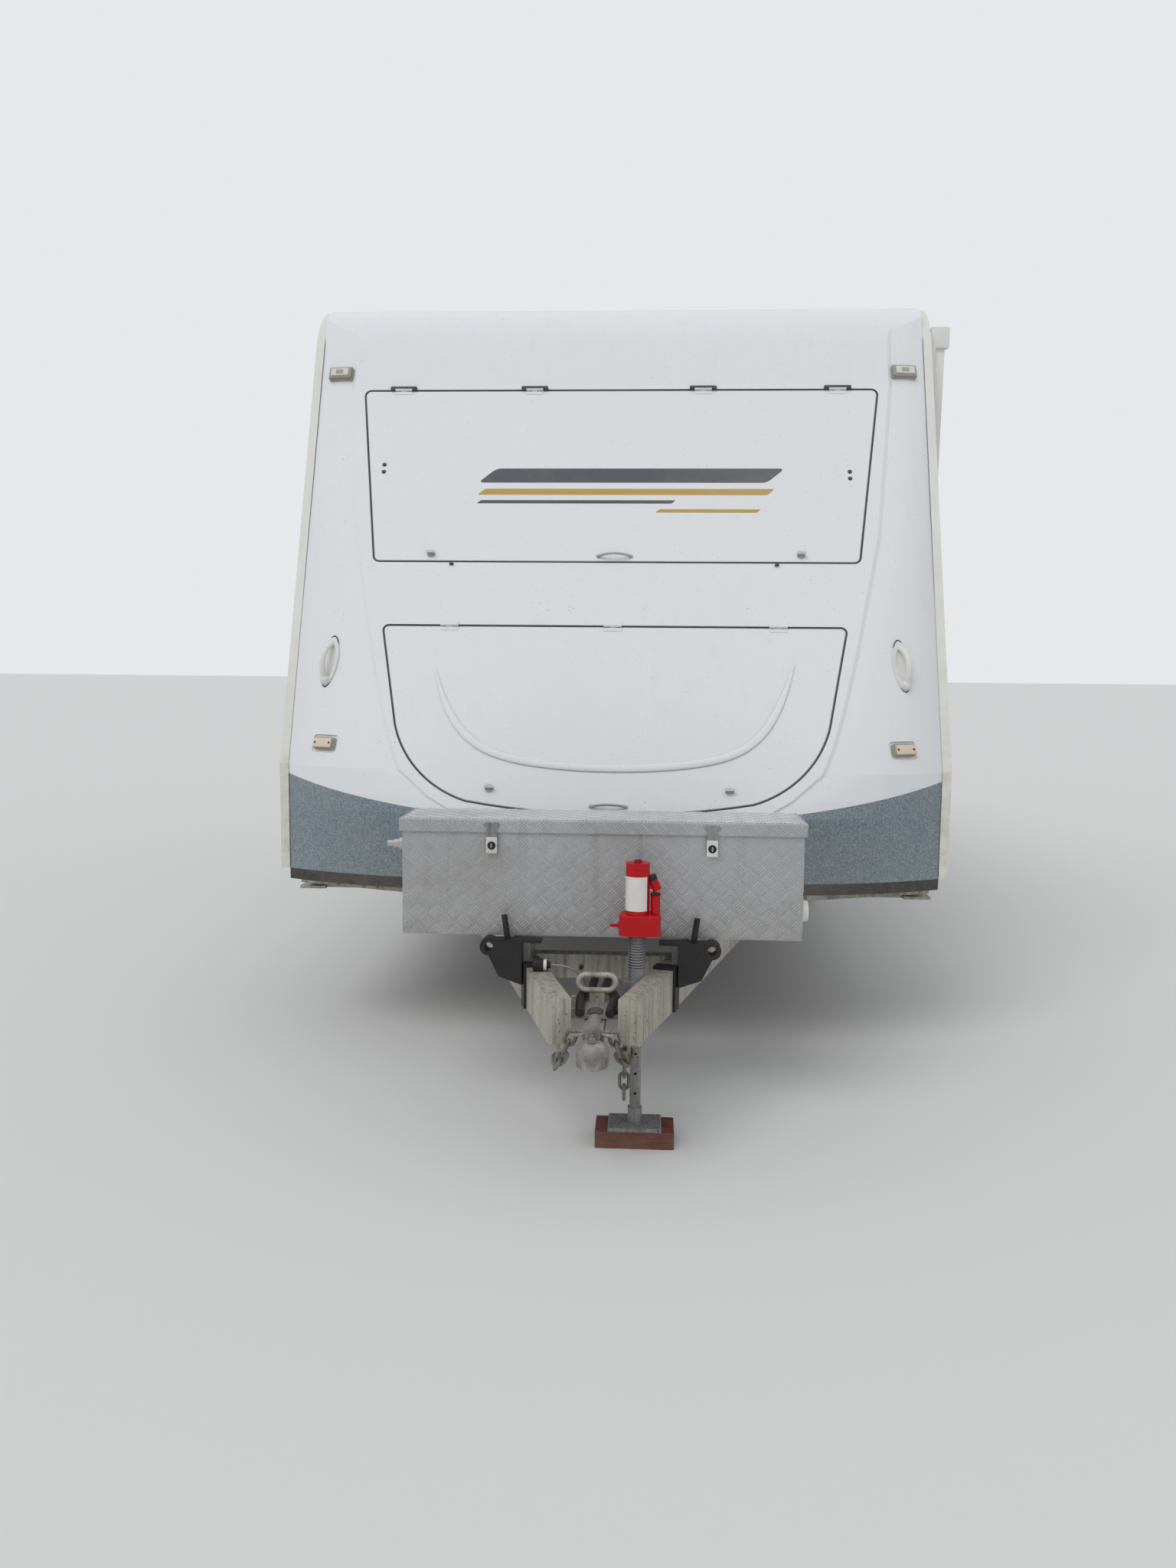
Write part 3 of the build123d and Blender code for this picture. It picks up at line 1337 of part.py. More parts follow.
tail_lamp_x = half_width - 165.0
tail_lamp_z = wall_bottom + 540.0
tail_depth = 28.0
tail_width = 120.0
tail_height = 330.0
with BuildPart() as tail_lamps:
    for side in (-1, 1):
        with BuildSketch(Plane.XZ.offset(-body_rear)):
            with Locations((side * tail_lamp_x, tail_lamp_z)):
                RectangleRounded(tail_width, tail_height, 30)
        extrude(amount=-tail_depth / 2)
        with BuildSketch(Plane.XZ.offset(-body_rear - tail_depth / 2)):
            with Locations(*[(side * tail_lamp_x, tail_lamp_z + i * tail_height / 3.4) for i in (-1, 0, 1)]):
                Circle(tail_width * 0.38)
        extrude(amount=-tail_depth / 2)
save(tail_lamps.part, "tail_lamps")

# Windows of the side walls: frames with an outer flange, and tinted panes
flange = 14.0
flange_proud = 6.0
side_pane = 6.0
pane_set_back = 12.0
with BuildPart() as side_window_frames:
    for side, y, z, width, height in side_windows:
        flange_base = at_x(half_width if side > 0 else -half_width - flange_proud)
        extrude(window_shape(y, z, width, height, window_r).moved(wall_base(side)), amount=wall)
        extrude(window_shape(y, z, width, height, window_r, flange).moved(flange_base), amount=flange_proud)
        hole = window_shape(y, z, width, height, window_r, -frame_width)
        extrude(hole.moved(at_x(side * half_width - hole_reach)), amount=2 * hole_reach, mode=Mode.SUBTRACT)
save(side_window_frames.part, "side_window_frames")

with BuildPart() as window_panes:
    front_pane = window_outline(
        window_half_width - seat_gap, window_low_z + seat_gap, window_high_z - seat_gap, front_window_r
    )
    extrude(front_pane.moved(behind(surround_back + seal_gap)), amount=-pane_thick)
    for side, y, z, width, height in side_windows:
        pane = window_shape(y, z, width, height, window_r, -frame_width - seat_gap)
        extrude(pane.moved(at_x(side * (half_width - pane_set_back) - side_pane / 2)), amount=side_pane)
save(window_panes.part, "window_panes")

# Entry door: leaf with a window, hinge knuckles, pane and lock
door_hinge_shape = (90.0, 7.0, 3.5, 22.0, 3.0)
door_knuckle_r = door_hinge_shape[1]
door_leaf = hinge_half(True, *door_hinge_shape)
door_hinge_y = door_y - door_width / 2 - door_gap / 2
hinge_inset = 200.0
door_hinge_zs = [door_low_z + hinge_inset, door_centre_z, door_high_z - hinge_inset]
door_window = (door_y, window_z, 330.0, 520.0, 50.0)


def door_hinge(z):
    return Plane(origin=(half_width + door_knuckle_r, door_hinge_y, z), x_dir=(0, 0, 1), z_dir=(1, 0, 0))


door_outline = window_shape(door_y, door_centre_z, door_width, door_height, door_r)
panel_inset = 55.0
panel_sink = 5.0
with BuildPart() as entry_door:
    extrude(door_outline.moved(at_x(inner_half)), amount=wall)
    panel = window_shape(door_y, door_centre_z, door_width, door_height, door_r, -panel_inset)
    extrude(panel.moved(at_x(half_width - panel_sink)), amount=panel_sink, mode=Mode.SUBTRACT)
    extrude(window_shape(*door_window, flange).moved(at_x(half_width - panel_sink)), amount=panel_sink)
    extrude(window_shape(*door_window).moved(at_x(inner_half)), amount=wall, mode=Mode.SUBTRACT)
    for z in door_hinge_zs:
        add(place(door_leaf, door_hinge(z)))
save(entry_door.part, "entry_door")

with BuildPart() as door_pane:
    extrude(window_shape(*door_window, -seat_gap).moved(at_x(inner_half + wall / 3)), amount=side_pane)
save(door_pane.part, "door_pane")

lock_y = door_y + door_width / 2 - 30.0
lock_z = wall_bottom + 920.0
lock_plane = Plane(origin=(half_width, lock_y, lock_z), x_dir=(0, 1, 0), z_dir=(1, 0, 0))
with BuildPart() as door_lock:
    with BuildSketch(lock_plane):
        SlotOverall(150, 44, rotation=90)
    extrude(amount=10)
    with BuildSketch(lock_plane.offset(10)):
        Circle(11)
    extrude(amount=12)
    with BuildSketch(lock_plane.offset(22)):
        with Locations((-38, 0)):
            SlotOverall(110, 20)
    extrude(amount=9)
save(door_lock.part, "door_lock")

# Fixed halves of every hinge
hatch_fixed = hinge_half(False, *hatch_hinge)
box_fixed = hinge_half(False, *box_hinge)
door_fixed = hinge_half(False, *door_hinge_shape)
with BuildPart() as hinges:
    for x in upper_hinge_x:
        add(place(hatch_fixed, upper_hinge, x))
    for x in lower_hinge_x:
        add(place(hatch_fixed, lower_hinge, x))
    for x in box_hinge_x:
        add(place(box_fixed, box_hinge_plane, x))
    for z in door_hinge_zs:
        add(place(door_fixed, door_hinge(z)))
save(hinges.part, "hinges")

# Pull-out step under the door: a tray with a ribbed tread
step_gauge = 6.0
with BuildPart() as entry_step:
    with Locations((step_x, door_y, step_z)):
        Box(step_depth, 2 * step_half, step_thick)
    with Locations((step_x - step_gauge, door_y, step_z - step_gauge)):
        Box(step_depth - 5 * step_gauge, 2 * (step_half - step_gauge), step_thick, mode=Mode.SUBTRACT)
    with Locations((step_x, door_y, step_z + step_thick / 2 + 1)):
        with GridLocations(step_depth / 7, 0, 6, 1):
            Box(12, 2 * step_half - 40, 3)
save(entry_step.part, "entry_step")

# Awning rolled up on the entry side, with its two folded arms and the end caps of the roller
awning_front = ball_y + 1875.0
awning_rear = door_y - door_width / 2 - 85.0
awning_z = wall_bottom + 2072.0
awning_r = 37.0
awning_x = half_width + trim_lap + seat_gap + awning_r
arm_low = wall_bottom + 160.0
arm_width = 40.0
arm_depth = 28.0
cap_length = 30.0
with BuildPart() as awning:
    roller = Plane(origin=(awning_x, awning_front, awning_z), x_dir=(1, 0, 0), z_dir=(0, 1, 0))
    with BuildSketch(roller):
        Circle(awning_r - 3)
    extrude(amount=awning_rear - awning_front)
    for y in (0, awning_rear - awning_front - cap_length):
        with BuildSketch(roller.offset(y)):
            RegularPolygon(awning_r, 8, major_radius=False)
        extrude(amount=cap_length)
    for y in (awning_front + arm_width / 2, awning_rear - arm_width / 2):
        with BuildSketch(Plane.XZ.offset(-y - arm_width / 2)):
            Polygon(
                (half_width + trim_lap / 2, arm_low),
                (half_width + arm_depth, arm_low + 30),
                (half_width + arm_depth, awning_z),
                (half_width + trim_lap / 2, awning_z),
                align=None,
            )
        extrude(amount=arm_width)
        with Locations((half_width + arm_depth / 2, y, arm_low + 60)):
            Box(arm_depth, arm_width, 90)
save(awning.part, "awning")

# Roof hatch lids, service hatches and vents
lid_lap = 20.0
dome_high = 48.0
with BuildPart() as roof_hatch_lids:
    with Locations(*[(x, y, roof_z + dome_high / 2) for x, y in roof_hatches]):
        Box(hatch_hole + 2 * lid_lap, hatch_hole + 2 * lid_lap, dome_high)
    fillet(roof_hatch_lids.edges().group_by(Axis.Z)[-1], 12)
save(roof_hatch_lids.part, "roof_hatch_lids")

# Columns: side, centre y, centre z, width, height, proud, slots
vent_places = [
    (-1, axle_y + 990.0, wall_bottom + 300.0, 500.0, 200.0, 16.0, 5),
    (-1, axle_y + 990.0, wall_bottom + 920.0, 500.0, 200.0, 16.0, 5),
    (-1, body_front + 660.0, wall_bottom + 320.0, 560.0, 380.0, 8.0, 0),
    (-1, body_front + 1960.0, wall_bottom + 220.0, 200.0, 160.0, 20.0, 0),
    (1, body_front + 1060.0, wall_bottom + 320.0, 560.0, 380.0, 8.0, 0),
    (1, axle_y + 1040.0, wall_bottom + 260.0, 130.0, 130.0, 14.0, 0),
]
slot_high = 14.0
with BuildPart() as wall_vents:
    for side, y, z, width, height, proud, slots in vent_places:
        vent_plane = Plane(origin=(side * half_width, y, z), x_dir=(0, 1, 0), z_dir=(side, 0, 0))
        with BuildSketch(vent_plane):
            RectangleRounded(width, height, 20)
        extrude(amount=proud)
        if slots:
            with BuildSketch(vent_plane.offset(proud / 2)):
                with GridLocations(0, height / (slots + 1), 1, slots):
                    Rectangle(width - 60, slot_high)
            extrude(amount=proud, mode=Mode.SUBTRACT)
save(wall_vents.part, "wall_vents")

tank_width = 900.0
tank_length = 800.0
tank_high = 180.0
tank_ys = [axle_y - 1500.0, door_y - 140.0]
with BuildPart() as water_tanks:
    for y in tank_ys:
        with BuildSketch(Plane.XY.offset(floor_bottom - tank_high)):
            with Locations((0, y)):
                RectangleRounded(tank_width, tank_length, 60)
        extrude(amount=tank_high)
save(water_tanks.part, "water_tanks")

# Corner steadies, folded up under the floor: a channel that is open below, with a foot plate
steady_length = 400.0
steady_gauge = 5.0
steady_boss = 20.0
steady_foot = (100.0, 110.0, 10.0)
for name, side, y in steadies:
    with BuildPart() as steady:
        middle_x = side * (steady_pivot_x + steady_length / 2)
        with Locations((middle_x, y, steady_z)):
            Box(steady_length + 2 * steady_boss, steady_size, steady_size)
        with Locations((middle_x + side * steady_boss, y, steady_z - steady_gauge)):
            Box(steady_length - steady_boss, steady_size - 2 * steady_gauge, steady_size, mode=Mode.SUBTRACT)
        with Locations((side * (steady_pivot_x + steady_length + 4), y, steady_z - steady_size / 2 + 6)):
            Box(*steady_foot)
        with Locations(Location((side * steady_pivot_x, y, steady_z), (90, 0, 0))):
            Cylinder(steady_pin_r + seat_gap, 4 * steady_size, mode=Mode.SUBTRACT)
    save(steady.part, name)

# Load-levelling brackets on the drawbar rails: saddle, body with its tongue and eye, and the lever
bracket_y = ball_y + 452.0
bracket_depth = 46.0
bracket_top = rail_bottom + 82.0
bracket_low = rail_bottom - 55.0
bracket_reach = 100.0
bracket_eye_r = 27.0
saddle = 8.0
tongue_inner = 176.0
lever_r = 9.0
with BuildPart() as levelling_brackets:
    for side in (-1, 1):
        turn = Plane(
            origin=(side * drawbar_x(bracket_y), bracket_y, rail_bottom),
            x_dir=(side * cos(radians(drawbar_angle)), -sin(radians(drawbar_angle)), 0),
            z_dir=(0, 0, 1),
        )
        outer = drawbar_width / 2
        with BuildSketch(turn.offset(-drawbar_height)):
            with Locations((outer + saddle / 2 + seat_gap, 0)):
                Rectangle(saddle, bracket_depth)
        extrude(amount=drawbar_height)
        with BuildSketch(turn.offset(seat_gap)):
            with Locations((saddle / 2, 0)):
                Rectangle(drawbar_width + saddle, bracket_depth)
        extrude(amount=saddle)
        body_inner = drawbar_x(bracket_y) + drawbar_skew + bracket_depth / 2 * tan(radians(drawbar_angle)) + seat_gap
        body_outer = body_inner + bracket_reach
        with BuildSketch(Plane.XZ.offset(-bracket_y - bracket_depth / 2)):
            Polygon(
                (side * body_inner, bracket_low),
                (side * (body_outer - 30), bracket_low + 25),
                (side * body_outer, bracket_top - 50),
                (side * body_outer, bracket_top),
                (side * tongue_inner, bracket_top),
                (side * tongue_inner, bracket_top - saddle),
                (side * body_inner, bracket_top - saddle),
                align=None,
            )
            with Locations((side * body_outer, bracket_top - 22)):
                Circle(bracket_eye_r)
                Circle(bracket_eye_r / 2, mode=Mode.SUBTRACT)
        extrude(amount=bracket_depth)
        with Locations(Location((side * 284, bracket_y, bracket_top + 32), (0, -side * -8, 0))):
            Cylinder(lever_r, 80)
save(levelling_brackets.part, "levelling_brackets")

# Tow plug on the -X drawbar rail, and its cable from the gland in the drawbar's cross member.
# The plug lies on its side, with its axis along X.
plug_r = 19.0
plug_length = 52.0
plug_x = -196.0
plug_y = ball_y + 390.0
plug_z = rail_bottom + plug_r
cable_r = 3.5
plug_plane = Plane(origin=(plug_x, plug_y, plug_z), x_dir=(0, 1, 0), z_dir=(1, 0, 0))
with BuildPart() as tow_plug:
    with BuildSketch(plug_plane):
        Circle(plug_r)
    extrude(amount=plug_length * 0.6)
    with BuildSketch(plug_plane.offset(plug_length * 0.6)):
        Circle(plug_r - 4)
    extrude(amount=plug_length * 0.25)
    with BuildSketch(plug_plane.offset(plug_length * 0.85)):
        Circle(plug_r - 9)
    extrude(amount=plug_length * 0.15)
    with Locations((plug_x + 10, plug_y, plug_z + plug_r)):
        Box(20, 14, 8)
save(tow_plug.part, "tow_plug")

# Route of the cable: out of the gland, down in a loose bow, up over the rail's edge to the plug
cable_route = [
    (gland_x, gland_y - gland_length, gland_z),
    (gland_x, gland_y - 52, gland_z),
    (gland_x + 12, gland_y - 102, gland_z - 30),
    (gland_x + 18, gland_y - 152, gland_z - 16),
    (gland_x + 14, gland_y - 190, gland_z + 16),
    (plug_x + plug_length + 52, plug_y, plug_z),
    (plug_x + plug_length, plug_y, plug_z),
]
route = [Vector(*point) for point in cable_route]
runs = [(b - a).length for a, b in zip(route, route[1:])]
turns = [(b - a).get_angle(c - b) for a, b, c in zip(route, route[1:], route[2:])]
cable_bends = [
    0.45 * min(before, after) / tan(radians(turn / 2)) for before, after, turn in zip(runs, runs[1:], turns)
]
print("cable runs", [round(run) for run in runs])
print("cable turns", [round(turn) for turn in turns])
print("cable bends", [round(bend) for bend in cable_bends])
with BuildPart() as tow_cable:
    with BuildLine() as cable_line:
        FilletPolyline(*cable_route, radius=cable_bends)
    with BuildSketch(Plane(origin=cable_line.wire() @ 0, z_dir=cable_line.wire() % 0)):
        Circle(cable_r)
    sweep(path=cable_line.wire())
cable_length = cable_line.wire().length
print("cable length", round(cable_length), "volume ratio", tow_cable.part.volume / (cable_length * 3.14159 * cable_r**2))
save(tow_cable.part, "tow_cable")
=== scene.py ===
# %% [markdown]
# # A travel caravan on its drawbar jack
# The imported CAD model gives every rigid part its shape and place. This script adds what CAD leaves
# out: rubber seals, tread-plate bars, screws, lamp lenses, hoses, a cable, and a weathered finish
# for each surface. All lengths are metres, in the same frame as the CAD: the drawbar points
# to -Y, the entry door is on +X, and the ground is z = 0.

# %% Load the frame
import json
from math import atan, cos, pi, radians, sin, sqrt

import bmesh
import bpy
from mathutils import Matrix, Vector


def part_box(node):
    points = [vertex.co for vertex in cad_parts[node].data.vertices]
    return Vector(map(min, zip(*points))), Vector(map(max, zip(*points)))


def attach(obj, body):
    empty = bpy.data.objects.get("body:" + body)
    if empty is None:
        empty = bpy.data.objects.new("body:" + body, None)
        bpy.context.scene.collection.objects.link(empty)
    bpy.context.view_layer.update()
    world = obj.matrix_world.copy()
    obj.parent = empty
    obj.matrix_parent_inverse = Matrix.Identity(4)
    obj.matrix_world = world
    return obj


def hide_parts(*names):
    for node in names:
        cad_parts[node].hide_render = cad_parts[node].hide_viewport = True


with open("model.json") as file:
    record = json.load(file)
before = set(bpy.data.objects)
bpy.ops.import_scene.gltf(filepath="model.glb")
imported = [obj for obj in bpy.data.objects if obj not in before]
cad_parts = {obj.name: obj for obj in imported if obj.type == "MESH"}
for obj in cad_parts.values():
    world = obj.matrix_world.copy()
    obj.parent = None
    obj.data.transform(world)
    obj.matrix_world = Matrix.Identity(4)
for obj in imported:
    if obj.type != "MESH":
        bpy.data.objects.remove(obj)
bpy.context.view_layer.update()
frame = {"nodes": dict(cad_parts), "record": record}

nodes = frame["nodes"]


# %% A turn from three axes
def turn_to(x_axis, y_axis, z_axis):
    """Matrix that turns X, Y and Z into three given axes."""
    return Matrix((x_axis, y_axis, z_axis)).transposed().to_4x4()


# %% [markdown]
# ## Camera and light
# The photograph was taken at eye height, three metres in front of the coupling, with the phone
# tipped a little down. Focal length and place were worked out from the straight lines of the body,
# so they are written here as plain numbers. The light is an overcast sky: an even pale world and
# one wide, weak sun, which together show a colour about as it is written. Mirrored rays see a sky
# that darkens towards the horizon, so that bare metal gets light and dark sides, and the sun is
# hidden from them, because its wide disc would show as a stain on the gelcoat.

# %% Camera
photo_width = 1536
focal_pixels = 1540.0
camera_place = Vector((0.138, -6.86, 1.40))
camera_yaw = radians(-2.95)
camera_down = radians(5.71)
camera_roll = radians(-0.51)

forward = Vector((sin(camera_yaw) * cos(camera_down), cos(camera_yaw) * cos(camera_down), -sin(camera_down)))
right = Vector((cos(camera_yaw), -sin(camera_yaw), 0))
down = forward.cross(right)
rolled_right = right * cos(camera_roll) + down * sin(camera_roll)
rolled_down = down * cos(camera_roll) - right * sin(camera_roll)
camera_data = bpy.data.cameras.new("photo_camera")
camera_data.sensor_fit = "HORIZONTAL"
camera_data.sensor_width = 36.0
camera_data.lens = camera_data.sensor_width * focal_pixels / photo_width
camera_data.clip_end = 200.0
camera = bpy.data.objects.new("photo_camera", camera_data)
axes = turn_to(rolled_right, -rolled_down, -forward)
camera.matrix_world = Matrix.Translation(camera_place) @ axes
bpy.context.scene.collection.objects.link(camera)
bpy.context.scene.camera = camera
bpy.context.scene.view_settings.view_transform = "Standard"
print("camera lens", round(camera_data.lens, 2))


# %% Short ways to add nodes
def add_node(tree, kind, inputs=None, **settings):
    """Adds a shader node. An input takes a plain value, or a socket that is linked to it."""
    made = tree.nodes.new(kind)
    for title, value in settings.items():
        setattr(made, title, value)
    for title, value in (inputs or {}).items():
        if isinstance(value, bpy.types.NodeSocket):
            tree.links.new(value, made.inputs[title])
        else:
            made.inputs[title].default_value = value
    return made


def scaled_coords(tree, scale):
    """Object coordinates, stretched by a scale along each axis."""
    coords = add_node(tree, "ShaderNodeTexCoord").outputs["Object"]
    return add_node(tree, "ShaderNodeMapping", {"Vector": coords, "Scale": scale}).outputs[0]


def noise(tree, vector, scale, **inputs):
    """Noise texture over some coordinates. Its further inputs are named by their titles."""
    return add_node(tree, "ShaderNodeTexNoise", {"Vector": vector, "Scale": scale, **inputs}).outputs["Fac"]


def band(tree, value, low, high):
    """0 below low, 1 above high, and a straight ramp between them."""
    return add_node(tree, "ShaderNodeMapRange", {0: value, 1: low, 2: high}).outputs[0]


def ramp(tree, factor, start, end):
    """start where a factor is 0, end where it is 1, and a straight line between them."""
    return add_node(tree, "ShaderNodeMapRange", {0: factor, 3: start, 4: end}).outputs[0]


def times(tree, a, b):
    return add_node(tree, "ShaderNodeMath", {0: a, 1: b}, operation="MULTIPLY").outputs[0]


def larger(tree, a, b):
    return add_node(tree, "ShaderNodeMath", {0: a, 1: b}, operation="MAXIMUM").outputs[0]


def blend_colour(tree, factor, a, b):
    return add_node(tree, "ShaderNodeMix", {0: factor, 6: a, 7: b}, data_type="RGBA").outputs[2]


def blend_value(tree, factor, a, b):
    return add_node(tree, "ShaderNodeMix", {0: factor, 2: a, 3: b}).outputs[0]


def use_group(tree, group, inputs):
    return add_node(tree, "ShaderNodeGroup", inputs, node_tree=group).outputs


def start_material(name):
    material = bpy.data.materials.new(name)
    material.use_nodes = True
    tree = material.node_tree
    return material, tree, tree.nodes["Principled BSDF"]


def add_bump(tree, shader, strength, height):
    bumped = add_node(tree, "ShaderNodeBump", {"Strength": strength, "Distance": 0.002, "Height": height})
    tree.links.new(bumped.outputs[0], shader.inputs["Normal"])


# %% Sky and sun
sky_level = 0.62
sun_level = 0.90
horizon_level, zenith_level = 0.28, 0.95
world = bpy.data.worlds.new("overcast")
bpy.context.scene.world = world
world.use_nodes = True
sky = world.node_tree
sky.nodes.clear()
rays = add_node(sky, "ShaderNodeLightPath")
seen = larger(sky, rays.outputs["Is Camera Ray"], rays.outputs["Is Transmission Ray"])
light = add_node(sky, "ShaderNodeBackground", {"Color": (0.96, 0.98, 1.0, 1), "Strength": sky_level})
direction = add_node(sky, "ShaderNodeTexCoord").outputs["Generated"]
rise = add_node(sky, "ShaderNodeSeparateXYZ", {0: direction}).outputs["Z"]
level = add_node(
    sky, "ShaderNodeMapRange", {0: rise, 1: -0.05, 2: 0.70, 3: horizon_level, 4: zenith_level},
).outputs[0]
mirrored = add_node(sky, "ShaderNodeBackground", {"Color": (0.92, 0.95, 1.0, 1), "Strength": level})
backdrop = add_node(sky, "ShaderNodeBackground", {"Color": (0.86, 0.88, 0.90, 1), "Strength": 0.92})
lit = add_node(
    sky, "ShaderNodeMixShader",
    {0: rays.outputs["Is Glossy Ray"], 1: light.outputs[0], 2: mirrored.outputs[0]},
)
both = add_node(sky, "ShaderNodeMixShader", {0: seen, 1: lit.outputs[0], 2: backdrop.outputs[0]})
add_node(sky, "ShaderNodeOutputWorld", {"Surface": both.outputs[0]})

sun_data = bpy.data.lights.new("soft_sun", "SUN")
sun_data.energy = sun_level
sun_data.angle = radians(35)
sun = bpy.data.objects.new("soft_sun", sun_data)
sun.rotation_euler = (radians(42), 0, radians(-30))
sun.visible_glossy = False
bpy.context.scene.collection.objects.link(sun)


# %% Working with one object at a time
def only(piece):
    """Selects one object alone."""
    bpy.ops.object.select_all(action="DESELECT")
    piece.select_set(True)
    bpy.context.view_layer.objects.active = piece


def new_piece(add, **settings):
    """Adds one primitive with nothing else selected."""
    bpy.ops.object.select_all(action="DESELECT")
    add(**settings)
    return bpy.context.object


def open_edit(piece):
    only(piece)
    bpy.ops.object.mode_set(mode="EDIT")


def close_edit():
    bpy.ops.object.mode_set(mode="OBJECT")


def pick_faces(piece, test):
    """In edit mode, selects only the faces whose middle and normal pass a test."""
    bpy.ops.mesh.select_mode(type="FACE")
    bpy.ops.mesh.select_all(action="DESELECT")
    mesh = bmesh.from_edit_mesh(piece.data)
    for face in mesh.faces:
        face.select_set(test(face.calc_center_median(), face.normal))
    bmesh.update_edit_mesh(piece.data)


def pick_verts(piece, test):
    """In edit mode, selects only the vertices whose place passes a test."""
    bpy.ops.mesh.select_mode(type="VERT")
    bpy.ops.mesh.select_all(action="DESELECT")
    mesh = bmesh.from_edit_mesh(piece.data)
    for vertex in mesh.verts:
        vertex.select_set(test(vertex.co))
    mesh.select_flush(True)
    bmesh.update_edit_mesh(piece.data)


def put_on(piece, matrix):
    """Moves a piece that was modelled at the origin to its place, and applies the move to its mesh."""
    piece.matrix_world = matrix @ piece.matrix_world
    only(piece)
    bpy.ops.object.transform_apply(location=True, rotation=True, scale=True)
    return piece


def copy_of(piece, name):
    """A copy with its own mesh, at the same place."""
    twin = piece.copy()
    twin.data = piece.data.copy()
    twin.name = name
    bpy.context.scene.collection.objects.link(twin)
    return twin


def join(pieces, name):
    bpy.ops.object.select_all(action="DESELECT")
    for piece in pieces:
        piece.select_set(True)
    bpy.context.view_layer.objects.active = pieces[0]
    bpy.ops.object.join()
    pieces[0].name = name
    return pieces[0]


def apply_modifier(piece, kind, **settings):
    only(piece)
    modifier = piece.modifiers.new(kind.lower(), kind)
    for title, value in settings.items():
        setattr(modifier, title, value)
    bpy.ops.object.modifier_apply(modifier=modifier.name)


def fair(piece, degrees=35):
    """Smooth shading, except over edges sharper than an angle."""
    only(piece)
    bpy.ops.object.shade_smooth_by_angle(angle=radians(degrees))


def hoop(radius, thick, around, across, matrix):
    """A torus put in its place. around and across count its faces each way."""
    ring = new_piece(
        bpy.ops.mesh.primitive_torus_add, major_radius=radius, minor_radius=thick,
        major_segments=around, minor_segments=across,
    )
    return put_on(ring, matrix)


def nurbs_line(name, points, radius, order=3, **settings):
    """A curve with a round bevel that reaches its first and its last point."""
    data = bpy.data.curves.new(name, "CURVE")
    data.dimensions = "3D"
    data.bevel_depth = radius
    for title, value in settings.items():
        setattr(data, title, value)
    line = data.splines.new("NURBS")
    line.points.add(len(points) - 1)
    for point, place in zip(line.points, points):
        point.co = (*place, 1)
    line.order_u = order
    line.use_endpoint_u = True
    curve = bpy.data.objects.new(name, data)
    bpy.context.scene.collection.objects.link(curve)
    return curve


def as_mesh(curve):
    only(curve)
    bpy.ops.object.convert(target="MESH")
    return bpy.context.object


def tube_line(points, radius):
    """A smooth round tube along a list of points, as a mesh."""
    return as_mesh(nurbs_line("tube", points, radius, bevel_resolution=4, use_fill_caps=True))


side_names = {-1: "right", 1: "left"}

# %% [markdown]
# ## Floor
# A plain pale ground, as wide as the eye can see, so that it meets the sky in a soft line.

# %% Floor
only(camera)
bpy.ops.mesh.primitive_plane_add(size=160.0, location=(0, 40, 0))
floor = bpy.context.object
floor.name = "studio_floor"
floor_paint, ground, ground_shader = start_material("pale_floor")
ground_shader.inputs["Roughness"].default_value = 0.9
ground_cloud = add_node(ground, "ShaderNodeTexNoise", {"Scale": 0.35, "Detail": 3.0})
ground_mix = blend_colour(ground, ground_cloud.outputs["Fac"], (0.74, 0.74, 0.73, 1), (0.80, 0.80, 0.79, 1))
ground.links.new(ground_mix, ground_shader.inputs["Base Color"])
floor.data.materials.append(floor_paint)

# %% [markdown]
# ## Effects that many finishes share
# Weather marks every outdoor surface in the same ways: faint clouds of grime, fine specks, streaks
# that run down with the rain, and splashed dirt near the road. One node group mixes these four, with
# named inputs, and each finish sets its own amounts. Grain, zinc crystals and scuffs are groups too.


# %% A node group with named sockets
def new_group(name, inputs, outputs):
    """Makes a shader group. Columns of inputs: title, socket type, default. Outputs: title, socket type."""
    group = bpy.data.node_groups.new(name, "ShaderNodeTree")
    for title, kind, value in inputs:
        socket = group.interface.new_socket(title, in_out="INPUT", socket_type=kind)
        socket.default_value = value
    for title, kind in outputs:
        group.interface.new_socket(title, in_out="OUTPUT", socket_type=kind)
    return group, add_node(group, "NodeGroupInput").outputs, add_node(group, "NodeGroupOutput").inputs


FLOAT, COLOR = "NodeSocketFloat", "NodeSocketColor"


# %% Weather: clouds, specks, streaks and road dirt
weather, given, result = new_group(
    "Weather",
    [
        ("Clean", COLOR, (0.8, 0.8, 0.8, 1)),
        ("Dirt", COLOR, (0.3, 0.27, 0.22, 1)),
        ("Clouds", FLOAT, 0.2),
        ("Specks", FLOAT, 0.2),
        ("Streaks", FLOAT, 0.2),
        ("Splash", FLOAT, 0.2),
        ("Splash height", FLOAT, 1.0),
    ],
    [("Color", COLOR), ("Dirt mask", FLOAT)],
)
plain = scaled_coords(weather, (1, 1, 1))
cloud_noise = noise(weather, plain, 3.2, Detail=5.0, Roughness=0.6)
clouds = times(weather, band(weather, cloud_noise, 0.42, 0.78), given["Clouds"])
speck_noise = noise(weather, plain, 150.0, Detail=2.0)
patch_noise = noise(weather, plain, 9.0, Detail=2.0)
speck_mask = times(weather, band(weather, speck_noise, 0.69, 0.74), band(weather, patch_noise, 0.40, 0.62))
specks = times(weather, speck_mask, given["Specks"])
run_noise = noise(weather, scaled_coords(weather, (22, 22, 0.8)), 1.0, Detail=4.0)
streaks = times(weather, band(weather, run_noise, 0.52, 0.80), given["Streaks"])
height = add_node(weather, "ShaderNodeSeparateXYZ", {0: plain}).outputs["Z"]
